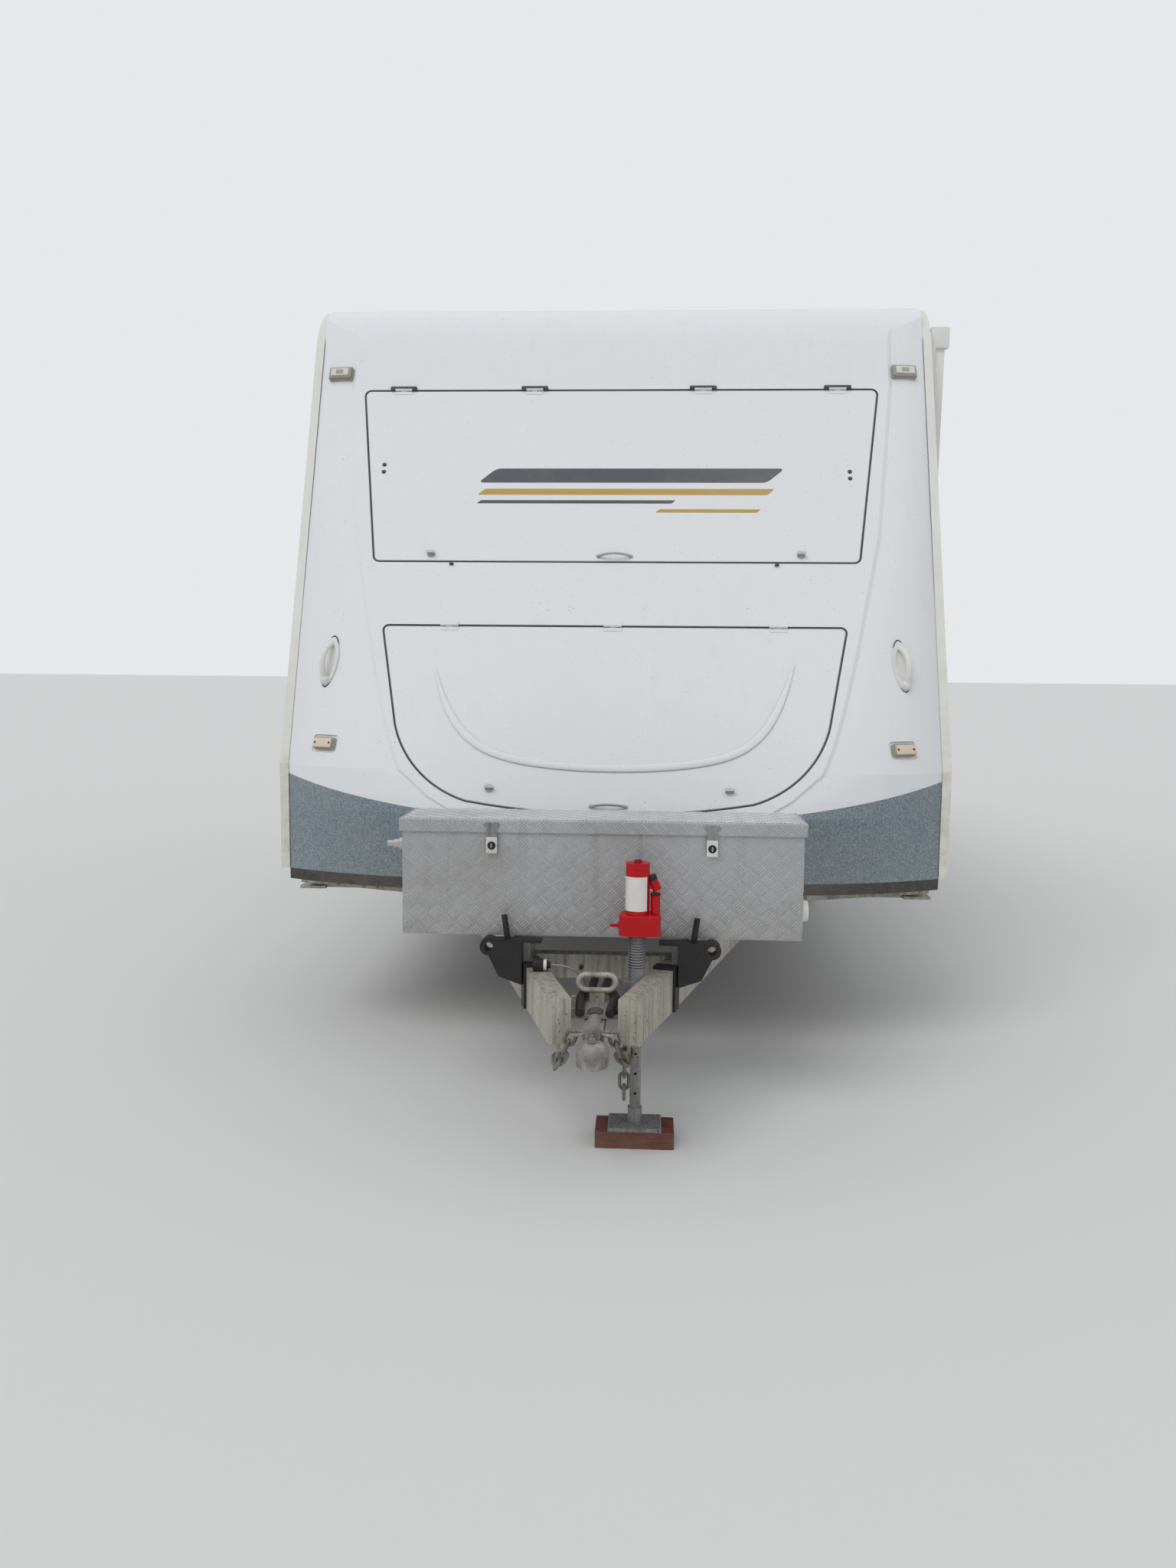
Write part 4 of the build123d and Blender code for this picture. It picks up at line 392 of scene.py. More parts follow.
above = add_node(
    weather, "ShaderNodeMath", {0: height, 1: given["Splash height"]}, operation="DIVIDE",
).outputs[0]
low_down = band(weather, above, 1.0, 0.45)
splash_noise = noise(weather, plain, 14.0, Detail=6.0, Roughness=0.7)
splash = times(weather, times(weather, low_down, band(weather, splash_noise, 0.30, 0.66)), given["Splash"])
mask = larger(weather, larger(weather, clouds, specks), larger(weather, streaks, splash))
weather.links.new(blend_colour(weather, mask, given["Clean"], given["Dirt"]), result["Color"])
weather.links.new(mask, result["Dirt mask"])
print("weather group", len(weather.nodes), "nodes")

# %% [markdown]
# Fine surface texture is the second shared effect. Moulded skirts have a pebbled grain, gelcoat has
# a faint orange peel, and castings are rough. One group gives a height at two scales.

# %% Grain: a height at two scales
grain, given, result = new_group(
    "Grain",
    [("Scale", FLOAT, 200.0), ("Coarse share", FLOAT, 0.3)],
    [("Height", FLOAT), ("Shade", FLOAT)],
)
plain = scaled_coords(grain, (1, 1, 1))
fine = noise(grain, plain, given["Scale"], Detail=3.0)
coarse_scale = times(grain, given["Scale"], 0.12)
coarse = noise(grain, plain, coarse_scale, Detail=2.0)
mixed = blend_value(grain, given["Coarse share"], fine, coarse)
grain.links.new(mixed, result["Height"])
grain.links.new(band(grain, fine, 0.35, 0.65), result["Shade"])

# %% [markdown]
# Hot-dip zinc freezes into flat crystals, each with its own brightness. A Voronoi texture gives
# each crystal a random grey, and the same value makes some crystals shinier than others.

# %% Spangle: zinc crystals
spangle, given, result = new_group(
    "Zinc spangle",
    [("Zinc", COLOR, (0.5, 0.5, 0.5, 1)), ("Scale", FLOAT, 90.0), ("Contrast", FLOAT, 0.35)],
    [("Color", COLOR), ("Roughness", FLOAT)],
)
plain = scaled_coords(spangle, (1, 1, 1))
bent_noise = add_node(spangle, "ShaderNodeTexNoise", {"Vector": plain, "Scale": 30.0})
bent = add_node(
    spangle, "ShaderNodeMix", {0: 0.02, 4: plain, 5: bent_noise.outputs["Color"]}, data_type="VECTOR",
).outputs[1]
cells = add_node(spangle, "ShaderNodeTexVoronoi", {"Vector": bent, "Scale": given["Scale"]})
shade = add_node(spangle, "ShaderNodeSeparateColor", {0: cells.outputs["Color"]}).outputs["Red"]
dimmed = blend_colour(spangle, 0.55, given["Zinc"], (0.12, 0.12, 0.12, 1))
amount = times(spangle, shade, given["Contrast"])
spangle.links.new(blend_colour(spangle, amount, given["Zinc"], dimmed), result["Color"])
spangle.links.new(ramp(spangle, shade, 0.38, 0.62), result["Roughness"])

# %% [markdown]
# Scuffs are short bright or dark scratches. A noise that is stretched far along one axis and cut at
# a high level leaves thin broken lines.

# %% Scuffs: thin broken scratches
scuffs, given, result = new_group(
    "Scuffs",
    [("Amount", FLOAT, 0.5)],
    [("Mask", FLOAT)],
)
one_way = noise(scuffs, scaled_coords(scuffs, (12, 260, 260)), 1.0, Detail=2.0)
other_way = noise(scuffs, scaled_coords(scuffs, (300, 260, 14)), 1.0, Detail=2.0)
chips = noise(scuffs, scaled_coords(scuffs, (1, 1, 1)), 46.0, Detail=5.0)
lines = larger(scuffs, band(scuffs, one_way, 0.66, 0.72), band(scuffs, other_way, 0.67, 0.73))
all_marks = larger(scuffs, lines, band(scuffs, chips, 0.66, 0.70))
scuffs.links.new(times(scuffs, all_marks, given["Amount"]), result["Mask"])

# %% [markdown]
# ## Finishes
# One table holds every plain finish: clean and dirty colour, gloss, how much of each kind of
# weather it has, and its grain. A function turns a row into a material.


# %% One material from one row of the table
def finish_from(name, clean, dirt, gloss=0.4, dull=0.8, metal=0.0, coat=0.0, specular=0.5,
                clouds=0.1, specks=0.1, streaks=0.0, splash=0.0, reach=1.0,
                scale=220.0, coarse=0.3, bump=0.05, wear=0.0, bare=(0.4, 0.4, 0.4),
                flecks=0.0, fleck=(0.5, 0.5, 0.5)):
    """gloss and dull are the roughness where clean and dirty. wear shows the bare colour in scuffs, and
    flecks lighten the tops of the grain."""
    material, tree, shader = start_material(name)
    marks = use_group(tree, weather, {
        "Clean": (*clean, 1), "Dirt": (*dirt, 1), "Clouds": clouds, "Specks": specks,
        "Streaks": streaks, "Splash": splash, "Splash height": reach,
    })
    texture = use_group(tree, grain, {"Scale": scale, "Coarse share": coarse})
    colour = marks["Color"]
    if flecks:
        colour = blend_colour(tree, times(tree, texture["Shade"], flecks), colour, (*fleck, 1))
    if wear:
        worn = use_group(tree, scuffs, {"Amount": wear})
        colour = blend_colour(tree, worn["Mask"], colour, (*bare, 1))
    tree.links.new(colour, shader.inputs["Base Color"])
    rough = ramp(tree, marks["Dirt mask"], gloss, dull)
    tree.links.new(rough, shader.inputs["Roughness"])
    shader.inputs["Metallic"].default_value = metal
    shader.inputs["Coat Weight"].default_value = coat
    shader.inputs["Specular IOR Level"].default_value = specular
    add_bump(tree, shader, bump, texture["Height"])
    return material


# %% The table of plain finishes
white, cream = (0.79, 0.80, 0.82), (0.78, 0.775, 0.74)
finishes = {
    "gelcoat": finish_from(
        "weathered_gelcoat", white, (0.34, 0.34, 0.33), 0.24, 0.6, coat=0.25, clouds=0.035, specks=0.9,
        streaks=0.06, splash=0.14, reach=1.25, scale=60, bump=0.02,
    ),
    "skirt_grey": finish_from(
        "stippled_skirt", (0.125, 0.165, 0.195), (0.30, 0.31, 0.30), 0.46, 0.85, clouds=0.3, specks=0.7,
        streaks=0.15, splash=0.5, reach=0.90, scale=170, coarse=0.35, bump=0.6, flecks=0.42,
        fleck=(0.48, 0.53, 0.56),
    ),
    "panel_white": finish_from(
        "painted_skin", (0.80, 0.80, 0.79), (0.45, 0.43, 0.38), 0.30, 0.7, coat=0.2, clouds=0.18,
        specks=0.3, streaks=0.25, splash=0.35, reach=1.2, scale=90, bump=0.03,
    ),
    "trim_cream": finish_from(
        "yellowed_trim", cream, (0.56, 0.47, 0.34), 0.42, 0.8, clouds=0.25, specks=0.3, streaks=0.3,
        splash=0.75, reach=1.7, scale=160, bump=0.06,
    ),
    "tread_plate": finish_from(
        "dull_tread_plate", (0.46, 0.47, 0.485), (0.23, 0.185, 0.13), 0.46, 0.78, metal=0.5,
        clouds=0.45, specks=0.45, streaks=0.45, splash=0.9, reach=0.86, scale=300, bump=0.10, wear=0.15,
        bare=(0.62, 0.62, 0.62),
    ),
    "jack_red": finish_from(
        "chipped_red_enamel", (0.50, 0.004, 0.008), (0.12, 0.012, 0.010), 0.30, 0.6, clouds=0.35,
        specks=0.5, scale=120, bump=0.05, wear=0.35, bare=(0.10, 0.06, 0.05), specular=0.25,
    ),
    "black_steel": finish_from(
        "worn_black_paint", (0.014, 0.014, 0.017), (0.085, 0.068, 0.055), 0.45, 0.85, clouds=0.4,
        specks=0.4, splash=0.3, reach=0.7, scale=200, bump=0.2, wear=0.25, bare=(0.12, 0.06, 0.04),
        specular=0.35,
    ),
    "tyre": finish_from(
        "tyre_rubber", (0.028, 0.028, 0.029), (0.20, 0.18, 0.15), 0.72, 0.92, clouds=0.45, specks=0.35,
        splash=0.6, reach=0.75, scale=240, bump=0.25,
    ),
    "rim": finish_from(
        "silver_rim", (0.58, 0.59, 0.60), (0.22, 0.19, 0.15), 0.30, 0.7, metal=0.75, coat=0.2,
        clouds=0.4, specks=0.4, splash=0.45, reach=0.75, scale=160, bump=0.05,
    ),
    "frame_grey": finish_from(
        "window_frame_plastic", (0.055, 0.057, 0.060), (0.28, 0.26, 0.22), 0.45, 0.8, clouds=0.3,
        specks=0.2, streaks=0.15, scale=300, bump=0.12,
    ),
    "lamp_lens": finish_from(
        "lamp_base_plastic", (0.40, 0.385, 0.34), (0.16, 0.13, 0.10), 0.35, 0.7, clouds=0.4,
        specks=0.25, scale=90, bump=0.05,
    ),
    "lamp_red": finish_from(
        "red_lens", (0.45, 0.02, 0.02), (0.18, 0.06, 0.04), 0.16, 0.5, coat=0.6, clouds=0.25,
        specks=0.2, scale=420, bump=0.25,
    ),
    "white_plastic": finish_from(
        "white_plastic", (0.78, 0.78, 0.75), (0.42, 0.39, 0.32), 0.34, 0.7, clouds=0.3, specks=0.35,
        streaks=0.2, scale=140, bump=0.05,
    ),
    "hinge_metal": finish_from(
        "satin_metal", (0.58, 0.58, 0.56), (0.22, 0.19, 0.15), 0.34, 0.7, metal=0.9, clouds=0.35,
        specks=0.4, scale=180, bump=0.08, wear=0.2, bare=(0.75, 0.75, 0.73),
    ),
    "tank_plastic": finish_from(
        "tank_plastic", (0.035, 0.036, 0.037), (0.20, 0.18, 0.14), 0.5, 0.85, clouds=0.45, specks=0.3,
        splash=0.5, reach=0.7, scale=120, bump=0.15,
    ),
    "cast_iron": finish_from(
        "worn_casting", (0.42, 0.40, 0.37), (0.040, 0.034, 0.030), 0.45, 0.8, metal=0.2, clouds=0.8,
        specks=0.9, streaks=0.5, splash=1.0, reach=0.70, scale=170, coarse=0.5, bump=0.55, wear=0.7,
        bare=(0.07, 0.06, 0.052),
    ),
}
print("plain finishes", len(finishes))

# %% [markdown]
# ### Galvanised steel
# Zinc first, then dirt over it. The spangle is several millimetres across on thick steel, which
# shows clearly on the rails of the drawbar in the photograph.


# %% Galvanised steel and rusty chain
def zinc(name, colour, dirt, contrast, rust, reach, metal=0.45):
    material, tree, shader = start_material(name)
    crystal = use_group(tree, spangle, {"Zinc": (*colour, 1), "Scale": 150.0, "Contrast": contrast})
    marks = use_group(tree, weather, {
        "Clean": crystal["Color"], "Dirt": (*dirt, 1), "Clouds": rust, "Specks": 0.8, "Streaks": 0.95,
        "Splash": 0.5, "Splash height": reach,
    })
    texture = use_group(tree, grain, {"Scale": 140.0, "Coarse share": 0.6})
    runs = noise(tree, scaled_coords(tree, (75, 75, 3.0)), 1.0, Detail=5.0)
    run_mask = times(tree, band(tree, runs, 0.46, 0.72), 0.75)
    stains = noise(tree, scaled_coords(tree, (1, 1, 1)), 60.0, Detail=4.0)
    rust_spots = band(tree, stains, 0.66, 0.72)
    colour = blend_colour(tree, run_mask, marks["Color"], (*dirt, 1))
    colour = blend_colour(tree, rust_spots, colour, (0.11, 0.05, 0.025, 1))
    tree.links.new(colour, shader.inputs["Base Color"])
    rough = blend_value(tree, marks["Dirt mask"], crystal["Roughness"], 0.85)
    tree.links.new(rough, shader.inputs["Roughness"])
    solid = ramp(tree, marks["Dirt mask"], metal, 0.1)
    tree.links.new(solid, shader.inputs["Metallic"])
    add_bump(tree, shader, 0.18, texture["Height"])
    return material


finishes["galvanised"] = zinc("galvanised_steel", (0.58, 0.555, 0.49), (0.20, 0.175, 0.125), 0.25, 0.42, 0.52)
leg_zinc = zinc("dull_zinc_leg", (0.34, 0.345, 0.34), (0.11, 0.105, 0.095), 0.35, 0.4, 0.25)
rusty_chain = zinc("weathered_chain", (0.30, 0.285, 0.26), (0.085, 0.062, 0.046), 0.4, 0.8, 0.5)

# %% [markdown]
# ### Timber block
# The block under the jack is dark red-brown hardwood. Its figure is two noises stretched along the
# grain, so the end shows the same figure cut across.


# %% Wood along one axis
def wood(name, light_wood, dark_wood, stretch, ring_scale):
    material, tree, shader = start_material(name)
    along = scaled_coords(tree, stretch)
    bend = noise(tree, along, 2.0, Detail=4.0, Distortion=1.2)
    rings = noise(tree, along, ring_scale, Detail=6.0, Roughness=0.7)
    figure = blend_value(tree, 0.5, bend, rings)
    colour = blend_colour(tree, band(tree, figure, 0.38, 0.62), (*dark_wood, 1), (*light_wood, 1))
    marks = use_group(tree, weather, {
        "Clean": colour, "Dirt": (0.25, 0.2, 0.15, 1), "Clouds": 0.4, "Specks": 0.5,
        "Splash": 0.4, "Splash height": 0.05,
    })
    tree.links.new(marks["Color"], shader.inputs["Base Color"])
    shader.inputs["Roughness"].default_value = 0.72
    add_bump(tree, shader, 0.4, figure)
    return material


finishes["timber"] = wood("oiled_hardwood", (0.20, 0.055, 0.035), (0.07, 0.02, 0.015), (6, 90, 90), 2.2)
finishes["board"] = wood("sealed_board", (0.075, 0.068, 0.06), (0.045, 0.04, 0.035), (3, 40, 40), 1.6)

# %% [markdown]
# ### Tinted panes
# Caravan windows are smoky acrylic. The pane keeps a plain transmission so that it exports, and a
# little roughness from dust keeps it from looking like a hole.

# %% Tinted acrylic
pane, tree, shader = start_material("smoky_acrylic")
shader.inputs["Transmission Weight"].default_value = 0.85
shader.inputs["IOR"].default_value = 1.49
shader.inputs["Metallic"].default_value = 0.0
dust = use_group(tree, weather, {
    "Clean": (0.10, 0.11, 0.115, 1), "Dirt": (0.30, 0.29, 0.27, 1),
    "Clouds": 0.25, "Specks": 0.3, "Streaks": 0.2,
})
tree.links.new(dust["Color"], shader.inputs["Base Color"])
film = ramp(tree, dust["Dirt mask"], 0.05, 0.5)
tree.links.new(film, shader.inputs["Roughness"])
finishes["tinted_pane"] = pane

# %% [markdown]
# ### Finishes of the added pieces
# Seals and stops are dull dark rubber that has faded a little. The other rows here are for pieces
# that only this script makes, so they stand outside the table of CAD slots.

# %% Rubber, vinyl, lenses, bright steel and tread bars with a painted highlight
rubber = finish_from(
    "faded_rubber", (0.045, 0.047, 0.050), (0.24, 0.24, 0.23), 0.62, 0.85, clouds=0.4, specks=0.3,
    scale=260, bump=0.15,
)
cable_sheath = finish_from(
    "grey_sheath", (0.26, 0.27, 0.28), (0.35, 0.32, 0.28), 0.45, 0.75, clouds=0.3, specks=0.3,
    scale=300, bump=0.08,
)
vinyl_grey = finish_from(
    "grey_vinyl", (0.085, 0.09, 0.10), (0.45, 0.45, 0.45), 0.32, 0.6, clouds=0.22, specks=0.3, scale=60,
    bump=0.02,
)
vinyl_gold = finish_from(
    "gold_vinyl", (0.52, 0.33, 0.07), (0.55, 0.50, 0.40), 0.32, 0.6, clouds=0.22, specks=0.3, scale=60,
    bump=0.02,
)
blank_label = finish_from(
    "blank_label", (0.74, 0.72, 0.70), (0.35, 0.28, 0.24), 0.5, 0.8, clouds=0.4, specks=0.4, scale=200,
    bump=0.05,
)
lamp_clear = finish_from(
    "clear_white_lens", (0.70, 0.68, 0.58), (0.45, 0.42, 0.34), 0.15, 0.5, coat=0.6, clouds=0.25,
    specks=0.25, scale=90, bump=0.05,
)
lamp_amber = finish_from(
    "faded_amber_lens", (0.76, 0.62, 0.47), (0.40, 0.28, 0.18), 0.2, 0.5, coat=0.6, clouds=0.3,
    specks=0.3, scale=420, bump=0.2,
)
# The tread bars are the plate's own metal made lighter than the plate: a painted highlight on the raised
# bars.
tread_bars_painted_highlight = finish_from(
    "tread_bars_painted_highlight", (0.70, 0.70, 0.70), (0.34, 0.29, 0.22), 0.34, 0.6, metal=0.7, clouds=0.45,
    splash=0.7, reach=0.74, scale=300, bump=0.03,
)
black_hose = finish_from(
    "black_hose", (0.012, 0.012, 0.013), (0.07, 0.06, 0.05), 0.35, 0.8, clouds=0.4, specks=0.5,
    scale=200, bump=0.1, specular=0.4,
)
# A flat near-black finish for a disc of painted shade that stands in for a hole.
hole_shade_paint = finish_from("painted_hole_shade", (0.02, 0.02, 0.02), (0.06, 0.05, 0.045), 0.8, 0.95, scale=200)
latch_steel = finish_from(
    "bright_latch_steel", (0.76, 0.75, 0.72), (0.24, 0.19, 0.14), 0.34, 0.7, metal=0.4, clouds=0.45,
    specks=0.8, scale=120, bump=0.10, wear=0.3, bare=(0.16, 0.13, 0.10),
)

# %% Give every CAD node its finish
slot_of = {part["node"]: part["material_slot"] for part in frame["record"]["subparts"]}
own_finish = {
    "safety_chains": rusty_chain,
    "jack_leg": leg_zinc,
    "jack_clamp": leg_zinc,
    "toolbox_latches": leg_zinc,
    "hinges": finishes["gelcoat"],
    "upper_hatch_locks": finishes["hinge_metal"],
    "lower_hatch_locks": finishes["hinge_metal"],
}
for name, node in nodes.items():
    finish = own_finish.get(name, finishes[slot_of[name]])
    for material_slot in node.material_slots:
        material_slot.material = finish
print("finished nodes", len(nodes))


# %% Hand a modelled piece over
def hand_over(piece, name, body, material, degrees=35):
    """Names a finished piece, gives it its finish, and lets it ride on a CAD body."""
    piece.name = name
    piece.data.materials.clear()
    piece.data.materials.append(material)
    fair(piece, degrees)
    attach(piece, body)
    return piece


# %% [markdown]
# ## Rubber around the two hatches
# Each hatch sits in a groove with a dark rubber edge, which is the strongest line on the front. The
# seal has to follow the hatch exactly, so its start is a copy of the hatch's own rim: the faces that
# stand square to the panel are kept, pulled a little proud, and given the width of the groove.

# %% The raked plane of the front
rake_slope = 0.448
chin = Vector((0, -2.819, 0.88))
rake_length = sqrt(1 + rake_slope ** 2)
rake_out = Vector((0, -1, rake_slope)) / rake_length
rake_up = Vector((0, rake_slope, 1)) / rake_length


def on_rake(x, z, out=0.0):
    """Matrix that puts a piece on the raked front: its x along X, its y up the slope, its z outwards."""
    place = Vector((x, chin.y + (z - chin.z) * rake_slope, z)) + rake_out * out
    turn = turn_to(Vector((1, 0, 0)), rake_up, rake_out)
    return Matrix.Translation(place) @ turn


def outward(point):
    """How far a point stands out of the raked plane."""
    return (point - chin).dot(rake_out)


def is_rim(middle, normal, thick):
    """True for a face that stands square to the raked plane, within a hatch's thickness."""
    return abs(normal.dot(rake_out)) < 0.25 and -thick < outward(middle) < -0.001


# %% Seals from the hatches' own rims
seal_width = 0.0052
seal_proud = 0.0045
for hatch, thick in (("upper_hatch", 0.020), ("lower_hatch", 0.025)):
    seal = copy_of(nodes[hatch], hatch + "_seal")
    seal.parent = None
    for title in list(seal.keys()):
        del seal[title]
    open_edit(seal)
    bpy.ops.mesh.select_all(action="SELECT")
    bpy.ops.mesh.remove_doubles(threshold=0.0002)
    bpy.ops.mesh.normals_make_consistent(inside=False)
    pick_faces(seal, lambda middle, normal: not is_rim(middle, normal, thick))
    bpy.ops.mesh.delete(type="FACE")
    pick_verts(seal, lambda place: outward(place) > -thick / 2)
    bpy.ops.transform.translate(value=rake_out * seal_proud)
    close_edit()
    apply_modifier(seal, "SOLIDIFY", thickness=seal_width, offset=1.0, use_even_offset=True)
    apply_modifier(seal, "BEVEL", width=0.0012, segments=2, limit_method="ANGLE", angle_limit=radians(50))
    hand_over(seal, hatch + "_seal", hatch, rubber)
    print(seal.name, len(seal.data.polygons), "faces")

# %% [markdown]
# ## Stripes on the window cover
# The photographed cover wears a printed pattern. Here it is a plain set of slanted stripes in the
# same greys and golds. Each stripe is a plane whose upper edge is pushed along to slant it, with
# rounded corners and the thickness of vinyl.

# %% Slanted stripes
# Columns: middle x, middle z, length, height, finish
stripes = [
    (0.02, 2.125, 1.10, 0.062, vinyl_grey),
    (0.02, 2.060, 1.10, 0.026, vinyl_gold),
    (-0.16, 2.020, 0.74, 0.014, vinyl_grey),
    (0.34, 1.985, 0.38, 0.014, vinyl_gold),
]
slant = 0.55
for index, (x, z, length, tall, vinyl) in enumerate(stripes):
    stripe = new_piece(bpy.ops.mesh.primitive_plane_add, size=1.0)
    stripe.scale = (length, tall, 1)
    bpy.ops.object.transform_apply(scale=True)
    open_edit(stripe)
    pick_verts(stripe, lambda place: place.y > 0)
    bpy.ops.transform.translate(value=(tall * slant * 2, 0, 0))
    bpy.ops.mesh.select_all(action="SELECT")
    bpy.ops.mesh.bevel(offset=tall * 0.3, segments=5, affect="VERTICES")
    close_edit()
    apply_modifier(stripe, "SOLIDIFY", thickness=0.0005, offset=1.0)
    put_on(stripe, on_rake(x, z, 0.0002))
    hand_over(stripe, f"cover_stripe_{index + 1}", "upper_hatch", vinyl)

# %% [markdown]
# ## Tread plate
# The toolbox is five-bar tread plate: groups of five raised bars, each group square to its
# neighbours, and the whole grid turned by 45 degrees. One bar is modelled, five make a group, four
# groups make a tile, and two Array modifiers fill a sheet. The sheet is turned, then bisected along
# the four edges of the panel it covers.

# %% One tile of the tread pattern
bar_long, bar_wide, bar_high, bar_pitch = 0.0265, 0.0034, 0.0018, 0.0076
bar_top_share = (0.84, 0.32, 1)
cell = 0.0418
bar = new_piece(bpy.ops.mesh.primitive_cube_add, size=1.0, location=(0, 0, bar_high / 2))
bar.scale = (bar_long, bar_wide, bar_high)
bpy.ops.object.transform_apply(location=True, scale=True)
open_edit(bar)
pick_faces(bar, lambda middle, normal: normal.z > 0.9)
bpy.ops.transform.resize(value=bar_top_share, center_override=(0, 0, bar_high))
pick_faces(bar, lambda middle, normal: normal.z < -0.9)
bpy.ops.mesh.delete(type="FACE")
close_edit()
bars = []
for column, row in ((0, 0), (1, 0), (0, 1), (1, 1)):
    for step in range(-2, 3):
        one = copy_of(bar, "bar")
        upright = (column + row) % 2
        turn = Matrix.Rotation(pi / 2 * upright, 4, "Z")
        shift = Vector((step * bar_pitch, 0, 0)) if upright else Vector((0, step * bar_pitch, 0))
        put_on(one, Matrix.Translation(Vector((column * cell, row * cell, 0)) + shift) @ turn)
        bars.append(one)
tile = join(bars, "tread_tile")
bpy.data.objects.remove(bar)
print("tile", len(tile.data.polygons), "faces")


# %% Cover a panel with bars
def tread_sheet(name, wide, tall, matrix, body):
    """Raised bars over a panel whose middle and axes a matrix gives."""
    sheet = copy_of(tile, name)
    reach = (wide + tall) / sqrt(2)
    count = int(reach / (2 * cell)) + 2
    for step in ((2 * cell, 0, 0), (0, 2 * cell, 0)):
        apply_modifier(
            sheet, "ARRAY", count=count, use_relative_offset=False, use_constant_offset=True,
            constant_offset_displace=step,
        )
    put_on(sheet, Matrix.Rotation(pi / 4, 4, "Z") @ Matrix.Translation((-count * cell, -count * cell, 0)))
    open_edit(sheet)
    for x, y in ((1, 0), (-1, 0), (0, 1), (0, -1)):
        bpy.ops.mesh.select_all(action="SELECT")
        edge_place = (x * wide / 2, y * tall / 2, 0)
        bpy.ops.mesh.bisect(plane_co=edge_place, plane_no=(x, y, 0), clear_outer=True, use_fill=False)
    close_edit()
    put_on(sheet, matrix)
    hand_over(sheet, name, body, tread_bars_painted_highlight, 20)
    print(name, len(sheet.data.polygons), "faces")


def facing_side(side):
    """Turn onto a wall that faces along side * X."""
    return turn_to(Vector((0, side, 0)), Vector((0, 0, 1)), Vector((side, 0, 0)))


# %% Bars on the toolbox and its lid
box_low, box_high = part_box("toolbox")
lid_low, lid_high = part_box("toolbox_lid")
box_floor = 0.584
edge = 0.006
lid_edge = lid_high.z - 0.038
front_middle = Vector(((box_low.x + box_high.x) / 2, box_low.y, (box_floor + lid_edge) / 2))
facing_front = turn_to(Vector((1, 0, 0)), Vector((0, 0, 1)), Vector((0, -1, 0)))
front_wide = box_high.x - box_low.x - 2 * edge
panel_tall = lid_edge - box_floor - 2 * edge
front_place = Matrix.Translation(front_middle) @ facing_front
tread_sheet("toolbox_front_bars", front_wide, panel_tall, front_place, "root")
box_depth = 0.265
end_middle_y = box_low.y + box_depth / 2
for side in (-1, 1):
    end_x = box_high.x if side > 0 else box_low.x
    middle = Vector((end_x, end_middle_y, front_middle.z))
    end_place = Matrix.Translation(middle) @ facing_side(side)
    tread_sheet(f"toolbox_end_bars_{side_names[side]}", box_depth - 2 * edge, panel_tall, end_place, "root")
lid_back = -3.09
lid_middle = Vector((0, (lid_low.y + lid_back) / 2, lid_high.z))
lid_margin, lid_front_margin, lid_front_tall, lid_front_drop = 0.02, 0.012, 0.031, 0.0215
tread_sheet("toolbox_lid_bars", lid_high.x - lid_low.x - lid_margin, lid_back - lid_low.y - lid_margin,
            Matrix.Translation(lid_middle), "toolbox_lid")
lid_front = Vector((0, lid_low.y, lid_high.z - lid_front_drop))
tread_sheet("toolbox_lid_front_bars", lid_high.x - lid_low.x - lid_front_margin, lid_front_tall,
            Matrix.Translation(lid_front) @ facing_front, "toolbox_lid")
bpy.data.objects.remove(tile)

# %% [markdown]
# ## Small fittings
# Screws, caps and lamp lenses are what make a caravan look bolted together rather than moulded in one
# piece. Each is turned or cut from one primitive at the origin and then placed. The places of the
# lamps are not typed in: the script looks for the flat front of each CAD lamp and builds a matrix
# on it.


# %% Turned and boxed pieces
def turned(name, radius, depth, matrix, soften=0.0, sides=32):
    """A short cylinder standing on the XY plane of a matrix, with a softened top."""
    piece = new_piece(
        bpy.ops.mesh.primitive_cylinder_add, vertices=sides, radius=radius, depth=depth,
        location=(0, 0, depth / 2),
    )
    piece.name = name
    bpy.ops.object.transform_apply(location=True)
    if soften:
        open_edit(piece)
        pick_faces(piece, lambda middle, normal: normal.z > 0.9)
        bpy.ops.mesh.bevel(offset=soften, segments=3)
        close_edit()
    return put_on(piece, matrix)


def boxed(name, size, matrix, corner=0.0, soften=0.0):
    """A block standing on the XY plane of a matrix, with round corners in plan and a softened top."""
    piece = new_piece(bpy.ops.mesh.primitive_cube_add, size=1.0, location=(0, 0, size[2] / 2))
    piece.name = name
    piece.scale = size
    bpy.ops.object.transform_apply(location=True, scale=True)
    if corner:
        open_edit(piece)
        bpy.ops.mesh.select_mode(type="EDGE")
        bpy.ops.mesh.select_all(action="DESELECT")
        mesh = bmesh.from_edit_mesh(piece.data)
        for line in mesh.edges:
            line.select_set(abs(line.verts[0].co.z - line.verts[1].co.z) > size[2] / 2)
        bmesh.update_edit_mesh(piece.data)
        bpy.ops.mesh.bevel(offset=corner, segments=5)
        close_edit()
    if soften:
        open_edit(piece)
        pick_faces(piece, lambda middle, normal: normal.z > 0.9)
        bpy.ops.mesh.bevel(offset=soften, segments=2)
        close_edit()
    return put_on(piece, matrix)


def flat_face(node, test):
    """Matrix on the largest flat face of a CAD node that passes a test: z outwards, x level."""
    polygons = [face for face in node.data.polygons if test(face.center, face.normal)]
    biggest = max(polygons, key=lambda face: face.area)
    level = biggest.normal.dot(biggest.center)
    same = [
        face for face in polygons
        if face.normal.dot(biggest.normal) > 0.9995
        and abs(face.center.dot(biggest.normal) - level) < 0.0005
    ]
    area = sum(face.area for face in same)
    middle = sum((face.center * face.area for face in same), Vector()) / area
    out = biggest.normal.copy()
    level_x = Vector((0, 0, 1)).cross(out).normalized()
    turn = turn_to(level_x, out.cross(level_x), out)
    return Matrix.Translation(middle) @ turn


